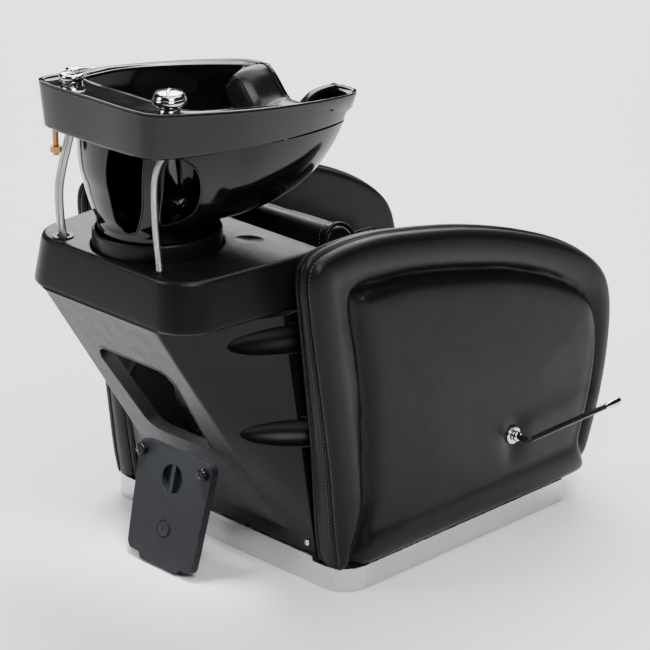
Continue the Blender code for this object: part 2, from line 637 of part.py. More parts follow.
def make_hoses():
    tube("supply_hose_hot", supply_route(0.0062), SUPPLY_D, "braid")
    tube("supply_hose_cold", supply_route(-0.0062), SUPPLY_D, "braid")
    for name, x in (("valve_hot", 0.0048), ("valve_cold", -0.0448)):
        turned(name, [(0.0150, PLATE_TOP + GAP), (0.0150, 0.020), (0.0080, 0.024), (0.0080, 0.070), (0.0110, 0.074),
                      (0.0110, 0.092), (0.0060, 0.095)], (x, 0.280, 0), "brass", 12)
    tube("handset_hose", [(HANDSET_X, HANDSET_Y, 0.9600), (HANDSET_X, HANDSET_Y, 0.944), (-0.132, 0.592, 0.912),
                          (-0.126, 0.600, 0.870), (-0.127, 0.601, 0.790), (-0.132, 0.598, 0.715),
                          (-0.132, 0.598, 0.685), (-0.130, 0.586, 0.645), (-0.118, 0.540, 0.570),
                          (-0.100, 0.480, 0.480), (-0.086, 0.420, 0.390),
                          (-0.074, 0.370, 0.320), (-0.064, 0.335, 0.270)], HANDSET_HOSE_D, "braid")
    turned("hose_weight", [(0.0090, 0.0), (0.0160, 0.006), (0.0160, 0.038), (0.0090, 0.044)],
           (-0.0600, 0.3180, 0.2220), "rubber", 16,
           Matrix.Rotation(math.radians(-22), 4, "X"))
    tube("drain_hose", [(0.0, WASTE_Y, 0.6880), (0.0, WASTE_Y, 0.668), (0.002, WASTE_Y - 0.006, 0.630),
                        (0.010, 0.405, 0.580), (0.040, 0.385, 0.500), (0.070, 0.370, 0.400),
                        (0.090, 0.345, 0.300), (0.100, 0.300, 0.200),
                        (0.104, 0.266, 0.140), (0.104, 0.262, 0.110),
                        (0.104, 0.262, 0.0925)], DRAIN_HOSE_D, "drain_plastic", 3)
    turned("drain_socket", [(0.0300, PLATE_TOP + GAP), (0.0300, 0.018), (0.0240, 0.022), (0.0240, 0.088),
                            (0.0190, 0.090)], (0.104, 0.262, 0), "drain_plastic", 16)


def panel_frame():
    """The leaning cover's own frame: x along its width, y up its height, z out of its face."""
    up = Vector((0, -math.sin(PANEL_LEAN), math.cos(PANEL_LEAN)))
    out = Vector((0, math.cos(PANEL_LEAN), math.sin(PANEL_LEAN)))
    across = up.cross(out)
    frame = Matrix((across, up, out)).transposed().to_4x4()
    return Matrix.Translation((0, PANEL_FOOT_Y, PANEL_FOOT_Z)) @ frame


def make_panel():
    frame = panel_frame()

    def plate(name, outline, low, high, slot):
        return loft(name, [[tuple(frame @ Vector((x, v, d))) for x, v in outline] for d in (low, high)], slot)

    half = PANEL_W / 2
    tab = 0.055
    foot = 0.012
    outline = rounded([(-tab, 0, 0.004), (tab, 0, 0.004), (tab + 0.006, foot, 0.003), (half - 0.012, foot, 0.018),
                       (half, PANEL_H, 0.018), (-half, PANEL_H, 0.018), (-half + 0.012, foot, 0.018),
                       (-tab - 0.006, foot, 0.003)])
    panel = bevel(plate("access_panel", outline, -PANEL_T, 0, "panel_plastic"), 0.003, 2, 60)
    pull_v, pull_r, bar = 0.186, 0.030, 0.0055
    for sign, side in ((-1, "right"), (1, "left")):
        start = math.acos(bar / pull_r)
        turns = [start - 2 * start * i / 10 for i in range(11)]
        arc = [(sign * pull_r * math.cos(turn), pull_v + pull_r * math.sin(turn)) for turn in turns]
        cut(panel, plate("pull_cutter_" + side, arc, -0.013, 0.01, None))
    lock_v, lock_r = 0.080, 0.0165
    cut(panel, turned("lock_hole_cutter", [(lock_r + GAP, -0.010), (lock_r + GAP, 0.01)],
                      (0, 0, 0), None, 24, frame @ Matrix.Translation((0, lock_v, 0))))
    turned("panel_lock", [(lock_r, -0.010 + GAP), (lock_r, 0.0010), (lock_r - 0.002, 0.0022), (0, 0.0022)],
           (0, 0, 0), "panel_plastic", 24, frame @ Matrix.Translation((0, lock_v, 0)))
    for sign, side in ((-1, "right"), (1, "left")):
        # The cover's own x axis points to the sitter's right, which is -X
        spot = frame @ Matrix.Translation((-sign * PANEL_KNOB_X, PANEL_KNOB_V, 0))
        cut(panel, turned("knob_hole_cutter_" + side, [(0.0044, -0.03), (0.0044, 0.01)], (0, 0, 0), None, 12, spot))
        turned("panel_knob_" + side, [(0.0040, -PANEL_T - 0.010), (0.0040, GAP), (0.0120, GAP), (0.0135, 0.0030),
                                      (0.0135, 0.0130), (0.0110, 0.0160), (0, 0.0165)],
               (0, 0, 0), "rubber", 12, spot)


def make_lever():
    plate_x = -ARM_PAD_OUT - GAP
    turned("lever_plate", [(0.0190, 0), (0.0190, 0.0020), (0.0150, 0.0040)], (plate_x, LEVER_Y, LEVER_Z), "chrome",
           24, "-X")
    hub_x = plate_x - 0.0040 - GAP
    turned("lever_hub", [(0.0110, 0), (0.0110, 0.0100), (0.0085, 0.0120)], (hub_x, LEVER_Y, LEVER_Z), "chrome",
           16, "-X")
    rod_x = hub_x - 0.0120 - GAP
    tip = Vector(LEVER_TIP)
    bend = Vector((LEVER_X, LEVER_Y, LEVER_Z))
    way = (tip - bend).normalized()
    route = [(rod_x, LEVER_Y, LEVER_Z), (LEVER_X + 0.014, LEVER_Y, LEVER_Z),
             (LEVER_X + 0.004, LEVER_Y - 0.004, LEVER_Z),
             tuple(bend + way * 0.014), tuple(bend + way * 0.10), tuple(tip)]
    tube("lever_rod", route, LEVER_D, "black_steel", 3, 3)
    spin = Vector((0, 0, 1)).rotation_difference(way).to_matrix().to_4x4()
    turned("lever_tip", [(0.0062, GAP), (0.0068, 0.004), (0.0050, 0.036), (0.0040, 0.048), (0, 0.050)], tip,
           "chrome", 16, spin)


def make_leg_rest():
    w = LEG_HALF_W
    turned("leg_rest_shaft", [(0.0080, -0.262), (0.0080, 0.262)], (0, LEG_Y, LEG_Z), "stainless", 12, "X")
    for sign, side in ((-1, "right"), (1, "left")):
        arm = rounded([(LEG_Y - 0.014, LEG_Z - 0.130, 0.010), (LEG_Y + 0.010, LEG_Z - 0.130, 0.010),
                       (LEG_Y + 0.014, LEG_Z + 0.014, 0.012), (LEG_Y - 0.014, LEG_Z + 0.014, 0.012)])
        low, high = sorted((sign * 0.225, sign * 0.231))
        link = prism("leg_rest_arm_" + side, arm, "X", low, high, "black_steel")
        cut(link, turned("leg_bore_cutter_" + side, [(0.0080 + RUN, -0.26), (0.0080 + RUN, 0.26)],
                         (0, LEG_Y, LEG_Z), None, 12, "X"))
    board_y = LEG_Y - 0.014 - GAP
    box("leg_rest_board", (-w, board_y - 0.012, 0.095), (w, board_y, 0.318), "board")
    pad = box("leg_rest_pad", (-w, board_y - 0.050, 0.085), (w, board_y - 0.012 - GAP, 0.325), "leather")
    bevel(pad, 0.014, 2)


def set_pivot(place, names):
    """Puts the pieces' origins at a point on their joint's axis, leaving the shapes where they are."""
    for name in names:
        obj = bpy.data.objects[name]
        obj.data.transform(Matrix.Translation(-Vector(place)))
        obj.location = place


def place_pivots():
    cap_z = LEDGE_Z - SEAT_DROP + 2 * GAP + 0.0180
    frame = panel_frame()
    set_pivot((0, TILT_Y, TILT_Z), ("bowl_basin", "bowl_pedestal", "neck_rest", "waste_flange", "waste_tailpipe",
                                    "waste_nut", "mixer_body", "mixer_nut", "mixer_stub", "stub_nut",
                                    "handset_holder"))
    set_pivot((0, WASTE_Y, BOWL_FLOOR), ("waste_strainer",))
    set_pivot((TAP_X, TAP_Y, cap_z), ("mixer_cap",))
    set_pivot((TAP_X, TAP_Y, cap_z + MIXER_LEVER_RISE), ("mixer_lever",))
    set_pivot((HANDSET_X, HANDSET_Y, LEDGE_Z), ("handset",))
    set_pivot((0, PANEL_FOOT_Y, PANEL_FOOT_Z), ("access_panel", "panel_lock"))
    for sign, side in ((-1, "right"), (1, "left")):
        set_pivot(frame @ Vector((-sign * PANEL_KNOB_X, PANEL_KNOB_V, 0)), ("panel_knob_" + side,))
    set_pivot((-ARM_PAD_OUT, LEVER_Y, LEVER_Z), ("lever_hub", "lever_rod", "lever_tip"))
    set_pivot((0, LEG_Y, LEG_Z), ("leg_rest_shaft", "leg_rest_arm_left", "leg_rest_arm_right", "leg_rest_board",
                                  "leg_rest_pad"))


def make_part():
    clear_scene()
    make_base()
    for side, sign in (("right", -1), ("left", 1)):
        make_arm(side, sign)
    make_seat()
    make_housing()
    make_deck_fittings()
    make_bowl()
    make_mixer()
    make_handset()
    make_hoses()
    make_panel()
    make_lever()
    make_leg_rest()
    place_pivots()


make_part()
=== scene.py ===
"""Looks of the shampoo backwash unit: upholstery, moulded shells, bowl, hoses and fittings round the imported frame.

Metres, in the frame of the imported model. +X is the sitter's left, -Y the front of the seat, +Z up.
"""

import json
import math

import bmesh
import bpy
import numpy as np
from mathutils import Matrix, Vector
from mathutils.bvhtree import BVHTree


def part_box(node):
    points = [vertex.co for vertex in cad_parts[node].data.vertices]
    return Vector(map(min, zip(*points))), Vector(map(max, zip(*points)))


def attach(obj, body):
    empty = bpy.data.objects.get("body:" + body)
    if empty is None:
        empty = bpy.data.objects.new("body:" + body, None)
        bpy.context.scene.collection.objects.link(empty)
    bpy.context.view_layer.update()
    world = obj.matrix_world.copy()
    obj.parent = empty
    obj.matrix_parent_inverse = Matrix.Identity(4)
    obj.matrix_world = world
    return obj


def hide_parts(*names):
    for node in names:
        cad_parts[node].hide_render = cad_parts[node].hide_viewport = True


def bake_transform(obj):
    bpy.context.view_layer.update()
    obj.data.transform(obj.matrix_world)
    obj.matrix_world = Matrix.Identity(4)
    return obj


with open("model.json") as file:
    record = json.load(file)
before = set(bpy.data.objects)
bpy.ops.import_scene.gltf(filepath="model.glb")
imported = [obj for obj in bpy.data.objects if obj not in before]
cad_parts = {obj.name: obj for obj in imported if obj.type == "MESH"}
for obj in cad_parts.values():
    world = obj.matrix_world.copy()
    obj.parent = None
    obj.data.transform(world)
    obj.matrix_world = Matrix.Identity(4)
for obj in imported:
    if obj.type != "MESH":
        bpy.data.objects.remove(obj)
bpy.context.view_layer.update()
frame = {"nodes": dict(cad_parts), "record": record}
NODES = frame["nodes"]
RIGHT, LEFT = -1, 1

# ---------------------------------------------------------------- materials


class Graph:
    """A material's node tree, with short calls for the textures that every surface here is made of."""

    def __init__(self, name, color, rough, metallic=0.0):
        self.material = bpy.data.materials.new(name)
        self.material.use_nodes = True
        self.nodes = self.material.node_tree.nodes
        self.links = self.material.node_tree.links
        self.shader = self.nodes["Principled BSDF"]
        self.color, self.rough = color, rough
        self.shader.inputs["Base Color"].default_value = (*color, 1.0)
        self.shader.inputs["Roughness"].default_value = rough
        self.shader.inputs["Metallic"].default_value = metallic
        self.place = self.nodes.new("ShaderNodeTexCoord").outputs["Object"]
        self.normal = None

    def texture(self, kind, scale, stretch=(1, 1, 1), detail=3.0, turn=(0, 0, 0)):
        """A noise, cell or wave pattern; scale is in repeats per metre."""
        mapping = self.nodes.new("ShaderNodeMapping")
        mapping.inputs["Scale"].default_value = stretch
        mapping.inputs["Rotation"].default_value = turn
        self.links.new(self.place, mapping.inputs["Vector"])
        node = self.nodes.new({"noise": "ShaderNodeTexNoise", "cells": "ShaderNodeTexVoronoi",
                               "wave": "ShaderNodeTexWave"}[kind])
        node.inputs["Scale"].default_value = scale
        if kind == "noise":
            node.inputs["Detail"].default_value = detail
        self.links.new(mapping.outputs["Vector"], node.inputs["Vector"])
        return node.outputs["Fac"] if kind != "cells" else node.outputs["Distance"]

    def tone(self, fac, low, high):
        """Base colour that drifts between low and high times the material's own colour."""
        mix = self.nodes.new("ShaderNodeMix")
        mix.data_type = "RGBA"
        mix.inputs["A"].default_value = (*[c * low for c in self.color], 1.0)
        mix.inputs["B"].default_value = (*[c * high for c in self.color], 1.0)
        self.links.new(fac, mix.inputs["Factor"])
        self.links.new(mix.outputs["Result"], self.shader.inputs["Base Color"])

    def gloss(self, fac, swing):
        """Roughness that varies by swing to each side of the material's own."""
        spread = self.nodes.new("ShaderNodeMapRange")
        spread.inputs["From Min"].default_value = 0.3
        spread.inputs["From Max"].default_value = 0.7
        spread.inputs["To Min"].default_value = self.rough - swing
        spread.inputs["To Max"].default_value = self.rough + swing
        self.links.new(fac, spread.inputs["Value"])
        self.links.new(spread.outputs["Result"], self.shader.inputs["Roughness"])

    def bump(self, fac, height, strength=1.0):
        node = self.nodes.new("ShaderNodeBump")
        node.inputs["Distance"].default_value = height
        node.inputs["Strength"].default_value = strength
        self.links.new(fac, node.inputs["Height"])
        if self.normal:
            self.links.new(self.normal, node.inputs["Normal"])
        self.normal = node.outputs["Normal"]
        self.links.new(self.normal, self.shader.inputs["Normal"])


def leather():
    g = Graph("leather", (0.0042, 0.0042, 0.0050), 0.38)
    g.shader.inputs["Specular IOR Level"].default_value = 0.17
    g.tone(g.texture("noise", 9.0), 0.90, 1.10)
    g.gloss(g.texture("noise", 34.0), 0.05)
    g.bump(g.texture("noise", 14.0), 0.0008, 0.25)
    g.bump(g.texture("cells", 720.0), 0.00022, 0.55)
    g.bump(g.texture("noise", 1500.0), 0.00010, 0.40)
    return g.material


def moulded(name, color, rough, grain=1300.0, depth=0.00016, specular=0.18):
    g = Graph(name, color, rough)
    g.shader.inputs["Specular IOR Level"].default_value = specular
    g.tone(g.texture("noise", 14.0), 0.86, 1.16)
    g.gloss(g.texture("noise", 40.0), 0.04)
    g.bump(g.texture("noise", grain), depth, 0.75)
    return g.material


def polished(name, color, rough):
    g = Graph(name, color, rough)
    g.shader.inputs["Specular IOR Level"].default_value = 0.30
    g.tone(g.texture("noise", 6.0), 0.85, 1.2)
    g.gloss(g.texture("noise", 26.0, detail=5.0), 0.02)
    g.bump(g.texture("noise", 30.0), 0.0003, 0.12)
    return g.material


def metal(name, color, rough, stretch=(1, 1, 1), streaks=200.0, depth=0.00003, swing=0.06):
    g = Graph(name, color, rough, 1.0)
    g.tone(g.texture("noise", 18.0), 0.90, 1.05)
    g.gloss(g.texture("noise", streaks, stretch, 4.0), swing)
    g.bump(g.texture("noise", streaks * 2, stretch, 4.0), depth, 0.5)
    return g.material


def woven(name, color, rough):
    """Fine wire braid: two families of strands crossing on the slant."""
    g = Graph(name, color, rough, 1.0)
    one = g.texture("wave", 150.0, turn=(0.8, 0.3, 0.7))
    two = g.texture("wave", 150.0, turn=(-0.8, 0.3, -0.7))
    g.tone(g.texture("noise", 500.0), 0.55, 1.15)
    g.gloss(g.texture("noise", 60.0), 0.06)
    g.bump(one, 0.0005, 0.6)
    g.bump(two, 0.0005, 0.6)
    return g.material


def plywood():
    g = Graph("plywood", (0.42, 0.29, 0.17), 0.62)
    grain = g.texture("noise", 30.0, (1, 14, 1), 5.0)
    g.tone(grain, 0.62, 1.18)
    g.gloss(grain, 0.06)
    g.bump(grain, 0.0003, 0.4)
    return g.material


MATERIALS = {
    "leather": leather(),
    "housing_plastic": moulded("housing_plastic", (0.0045, 0.0045, 0.0052), 0.36),
    "panel_plastic": moulded("panel_plastic", (0.0100, 0.0110, 0.0140), 0.44, 900.0, 0.0002),
    "bowl_gloss": polished("bowl_gloss", (0.0024, 0.0024, 0.0028), 0.09),
    "stainless": metal("stainless", (0.56, 0.56, 0.565), 0.27, (1, 1, 30)),
    "chrome": metal("chrome", (0.66, 0.66, 0.68), 0.10, streaks=60.0, swing=0.03),
    "braid": woven("braid", (0.56, 0.55, 0.52), 0.34),
    "brass": metal("brass", (0.44, 0.25, 0.10), 0.36, streaks=120.0),
    "rubber": moulded("rubber", (0.0050, 0.0050, 0.0054), 0.24, 700.0, 0.00006),
    "board": plywood(),
    "black_steel": moulded("black_steel", (0.010, 0.010, 0.011), 0.24, 260.0, 0.0001),
    "drain_plastic": moulded("drain_plastic", (0.030, 0.030, 0.031), 0.45, 500.0),
}
THREAD = moulded("thread", (0.070, 0.070, 0.074), 0.60, 2500.0)
SEAM = moulded("seam_shadow", (0.0035, 0.0035, 0.004), 0.75, 900.0)

# ---------------------------------------------------------------- mesh helpers


def make(name, verts, faces):
    mesh = bpy.data.meshes.new(name)
    mesh.from_pydata([tuple(map(float, v)) for v in verts], [], faces)
    obj = bpy.data.objects.new(name, mesh)
    bpy.context.scene.collection.objects.link(obj)
    tidy_normals(obj)
    return obj


def tidy_normals(obj, weld=0.0):
    shape = bmesh.new()
    shape.from_mesh(obj.data)
    if weld:
        bmesh.ops.remove_doubles(shape, verts=shape.verts, dist=weld)
    bmesh.ops.recalc_face_normals(shape, faces=shape.faces)
    shape.to_mesh(obj.data)
    shape.free()


def rings_mesh(name, rings, closed=False, cap=True):
    """A skin through rings with the same number of points; closed joins the last ring to the first."""
    rings = [np.asarray(r, float) for r in rings]
    count = len(rings[0])
    faces = []
    last = len(rings) if closed else len(rings) - 1
    for k in range(last):
        a, b = k * count, ((k + 1) % len(rings)) * count
        faces += [(a + i, a + (i + 1) % count, b + (i + 1) % count, b + i) for i in range(count)]
    if cap and not closed:
        faces.append(tuple(reversed(range(count))))
        faces.append(tuple(range((len(rings) - 1) * count, len(rings) * count)))
    return make(name, np.vstack(rings), faces)


def apply(obj):
    """Applies the object's modifiers to its mesh."""
    bpy.context.view_layer.update()
    shaped = obj.evaluated_get(bpy.context.evaluated_depsgraph_get())
    mesh = bpy.data.meshes.new_from_object(shaped)
    obj.modifiers.clear()
    old, obj.data = obj.data, mesh
    bpy.data.meshes.remove(old)
    return obj


def modify(obj, kind, **settings):
    step = obj.modifiers.new(kind.title(), kind)
    for key, value in settings.items():
        setattr(step, key, value)
    return obj


def cut(obj, cutter, operation="DIFFERENCE"):
    modify(obj, "BOOLEAN", operation=operation, object=cutter, solver="MANIFOLD")
    apply(obj)
    bpy.data.objects.remove(cutter, do_unlink=True)
    return obj


def soften(obj, width, segments=3, angle=28.0):
    modify(obj, "BEVEL", width=width, segments=segments, limit_method="ANGLE", angle_limit=math.radians(angle),
           use_clamp_overlap=True, miter_outer="MITER_ARC")
    return apply(obj)


def dress(obj, slot, body="root", replaces=(), material=None, sharp=None):
    """Gives a piece its finish and its body, and hides the CAD nodes it stands for."""
    obj.data.materials.clear()
    obj.data.materials.append(material or MATERIALS[slot])
    if sharp is None:
        obj.data.shade_smooth()
    else:
        obj.data.shade_smooth()
        obj.data.set_sharp_from_angle(angle=math.radians(sharp))
        modify(obj, "WEIGHTED_NORMAL", keep_sharp=True)
        apply(obj)
    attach(obj, body)
    if replaces:
        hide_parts(*replaces)
    return obj


def curve(points, steps=12, closed=False, every=None):
    """A Catmull-Rom curve through points, read evenly if every is given, in metres."""
    p = np.asarray(points, float)
    n = len(p)
    read = []
    for k in range(n if closed else n - 1):
        a, b, c, d = (p[(k + j) % n] if closed else p[min(max(k + j, 0), n - 1)] for j in (-1, 0, 1, 2))
        for i in range(steps):
            t = i / steps
            read.append(0.5 * (2 * b + (c - a) * t + (2 * a - 5 * b + 4 * c - d) * t * t
                               + (3 * b - a - 3 * c + d) * t ** 3))
    if not closed:
        read.append(p[-1])
    read = np.array(read)
    return even(read, every, closed) if every else read


def even(points, every, closed=False):
    """The same line with its points the same distance apart, about every metres."""
    p = np.vstack([points, points[:1]]) if closed else points
    run = np.concatenate([[0], np.cumsum(np.linalg.norm(np.diff(p, axis=0), axis=1))])
    count = max(int(round(run[-1] / every)), 3)
    at = np.linspace(0, run[-1], count + 1)
    read = np.stack([np.interp(at, run, p[:, k]) for k in range(p.shape[1])], 1)
    return read[:-1] if closed else read


def frames(path, closed=False):
    """Two directions square to a path at each of its points, turning as little as possible."""
    p = np.asarray(path, float)
    if closed:
        tangent = np.roll(p, -1, 0) - np.roll(p, 1, 0)
    else:
        tangent = np.gradient(p, axis=0)
    tangent /= np.linalg.norm(tangent, axis=1)[:, None]
    side = np.cross(tangent[0], (0.0, 0.0, 1.0))
    if np.linalg.norm(side) < 0.2:
        side = np.cross(tangent[0], (1.0, 0.0, 0.0))
    sides = []
    for t in tangent:
        side = side - t * (side @ t)
        side = side / np.linalg.norm(side)
        sides.append(side)
    sides = np.array(sides)
    return sides, np.cross(tangent, sides)


def sweep(name, path, radius, sides=10, closed=False, flat=1.0):
    """A round or flattened section carried along a path; radius is one number or one for each point."""
    one, two = frames(path, closed)
    radius = np.broadcast_to(np.asarray(radius, float), (len(path),))
    turn = np.arange(sides) * 2 * math.pi / sides
    rings = [np.asarray(path[k]) + radius[k] * (np.outer(np.cos(turn), one[k]) + flat * np.outer(np.sin(turn), two[k]))
             for k in range(len(path))]
    return rings_mesh(name, rings, closed)


def join(name, pieces):
    """One object from several."""
    shape = bmesh.new()
    for piece in pieces:
        shape.from_mesh(piece.data)
        bpy.data.objects.remove(piece, do_unlink=True)
    mesh = bpy.data.meshes.new(name)
    shape.to_mesh(mesh)
    shape.free()
    obj = bpy.data.objects.new(name, mesh)
    bpy.context.scene.collection.objects.link(obj)
    return obj


def stitches(name, path, body="root", length=0.0052, gap=0.0034, radius=0.00085, closed=False):
    """A row of thread stitches lying along a path."""
    path = even(np.asarray(path, float), length + gap, closed)
    points, faces = [], []
    for a, b in zip(path[:-1], path[1:]):
        way = b - a
        size = np.linalg.norm(way)
        way = way / size
        one = np.cross(way, (0.31, 0.52, 0.80))
        one /= np.linalg.norm(one)
        two = np.cross(way, one)
        start = len(points)
        for along, thick in ((0.0, 0.35), (0.25, 1.0), (0.75, 1.0), (1.0, 0.35)):
            centre = a + way * length * along
            points += [centre + radius * thick * (math.cos(t) * one + math.sin(t) * two)
                       for t in np.arange(5) * 2 * math.pi / 5]
        for k in range(3):
            faces += [(start + k * 5 + i, start + k * 5 + (i + 1) % 5, start + k * 5 + 5 + (i + 1) % 5,
                       start + k * 5 + 5 + i) for i in range(5)]
        faces.append(tuple(start + i for i in range(4, -1, -1)))
        faces.append(tuple(start + 15 + i for i in range(5)))
    return dress(make(name, points, faces), "leather", body, material=THREAD)


def rounded(corners, steps=8):
    """An outline with its corners rounded. Each corner is (x, y, radius)."""
    outline = []
    for k, (x, y, radius) in enumerate(corners):
        here = Vector((x, y))
        before = (Vector(corners[k - 1][:2]) - here).normalized()
        after = (Vector(corners[(k + 1) % len(corners)][:2]) - here).normalized()
        radius = max(radius, 0.0004)
        half = before.angle(after) / 2
        centre = here + (before + after).normalized() * (radius / math.sin(half))
        reach = radius / math.tan(half)
        start, end = here + before * reach - centre, here + after * reach - centre
        outline += [tuple(centre + start.slerp(end, i / steps).normalized() * radius) for i in range(steps + 1)]
    return outline


def turned(name, profile, place=(0, 0, 0), steps=48, frame_matrix=None, closed=False):
    """A profile of (radius, height) turned about Z, or about the Z of frame_matrix."""
    placed = (frame_matrix or Matrix.Identity(4)) if frame_matrix is not None else Matrix.Translation(place)
    angle = np.arange(steps) * 2 * math.pi / steps
    rings = []
    for radius, height in profile:
        radius = max(radius, 0.00005)
        rings.append([placed @ Vector((radius * math.cos(a), radius * math.sin(a), height)) for a in angle])
    return rings_mesh(name, rings, closed)


def ellipsoid(name, centre, radii, turn=0.0, steps=40):
    """A stretched ball, turned about Z."""
    frame_matrix = (Matrix.Translation(centre) @ Matrix.Rotation(turn, 4, "Z")
                    @ Matrix.Diagonal((*radii, 1.0)))
    profile = [(math.sin(math.pi * k / 32), -math.cos(math.pi * k / 32)) for k in range(33)]
    return turned(name, profile, steps=steps, frame_matrix=frame_matrix)


def smoothstep(low, high, value):
    t = np.clip((np.asarray(value, float) - low) / (high - low), 0, 1)
    return t * t * (3 - 2 * t)


def distance(points, line, closed=True):
    """Each 2-D point's distance from a line."""
    line = np.asarray(line, float)
    ends = np.roll(line, -1, 0) if closed else line[1:]
    starts = line if closed else line[:-1]
    points = np.asarray(points, float)
    best = np.full(len(points), 1e9)
    for a, b in zip(starts, ends):
        d = b - a
        t = np.clip(((points - a) @ d) / max(d @ d, 1e-12), 0, 1)
        best = np.minimum(best, np.linalg.norm(points - a - t[:, None] * d, axis=1))
    return best


def inside(points, outline):
    """Whether each 2-D point is inside an outline."""
    outline = np.asarray(outline, float)
    points = np.asarray(points, float)
    odd = np.zeros(len(points), bool)
    for a, b in zip(outline, np.roll(outline, -1, 0)):
        crosses = (a[1] > points[:, 1]) != (b[1] > points[:, 1])
        slope = (b[0] - a[0]) / (b[1] - a[1] if b[1] != a[1] else 1e-12)
        odd ^= crosses & (points[:, 0] < a[0] + slope * (points[:, 1] - a[1]))
    return odd


# ---------------------------------------------------------------- arms

ARM_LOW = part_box("arm_right")[0].z
ARM_OUT = -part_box("arm_right")[0].x
ARM_IN = -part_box("arm_right")[1].x
ARM_SIDE = [(0.300, ARM_LOW), (0.326, ARM_LOW + 0.022), (0.352, 0.300), (0.380, 0.480), (0.402, 0.620),
            (0.407, 0.680), (0.394, 0.716), (0.350, 0.731), (0.260, 0.734), (0.160, 0.723), (-0.020, 0.688),
            (-0.200, 0.634), (-0.350, 0.570), (-0.445, 0.502), (-0.478, 0.430), (-0.479, 0.330),
            (-0.460, 0.220), (-0.428, 0.120), (-0.404, ARM_LOW + 0.016), (-0.370, ARM_LOW), (-0.10, ARM_LOW),
            (0.12, ARM_LOW)]
PAD_SIDE = [(0.250, 0.020), (0.256, 0.200), (0.262, 0.400), (0.274, 0.500), (0.292, 0.600), (0.283, 0.634),
            (0.216, 0.636), (0.110, 0.625), (-0.089, 0.584), (-0.197, 0.552), (-0.300, 0.510), (-0.374, 0.466),
            (-0.414, 0.420), (-0.425, 0.340), (-0.412, 0.240), (-0.380, 0.130), (-0.350, 0.020)]
ARM_CENTRE = np.array([-0.030, 0.360])
LEVER_SPOT = np.array([-0.155, 0.208])
MITRE = np.array([(0.372, 0.706), (0.292, 0.634)])


def arm_face(points, outline, pad, dimple):
    """How far the outer face stands out at each (y, z): a rounded border, a deep groove, then the raised pad."""
    edge = distance(points, outline)
    border = distance(points, pad)
    on_pad = inside(points, pad)
    y = points[:, 0]
    rolled = 0.018 - np.sqrt(np.maximum(0.018 ** 2 - np.maximum(0.018 - edge, 0) ** 2, 0))
    stand = -rolled + 0.008 * np.sin(math.pi * np.clip(edge / 0.075, 0, 1))
    depth = 0.30 + 0.70 * smoothstep(-0.44, -0.20, y)
    tuck = np.where(on_pad, np.exp(-(border / 0.007) ** 1.4), np.exp(-(border / 0.011) ** 1.2))
    raised = np.where(on_pad, 0.0150 * (1 - np.exp(-border / 0.016)) + 0.006 * smoothstep(0.02, 0.22, border), 0)
    stand = stand + raised - 0.020 * depth * tuck
    stand = stand - 0.0022 * np.exp(-(distance(points, MITRE, closed=False) / 0.0030) ** 2) * ~on_pad
    if dimple:
        reach = np.linalg.norm((points - LEVER_SPOT) * (1.0, 0.8), axis=1)
        stand = stand - 0.010 * np.exp(-(reach / 0.030) ** 2)
        pull = np.exp(-(np.linalg.norm(points - LEVER_SPOT - (0.004, -0.045), axis=1) / 0.022) ** 2)
        stand = stand - 0.003 * pull
    return stand


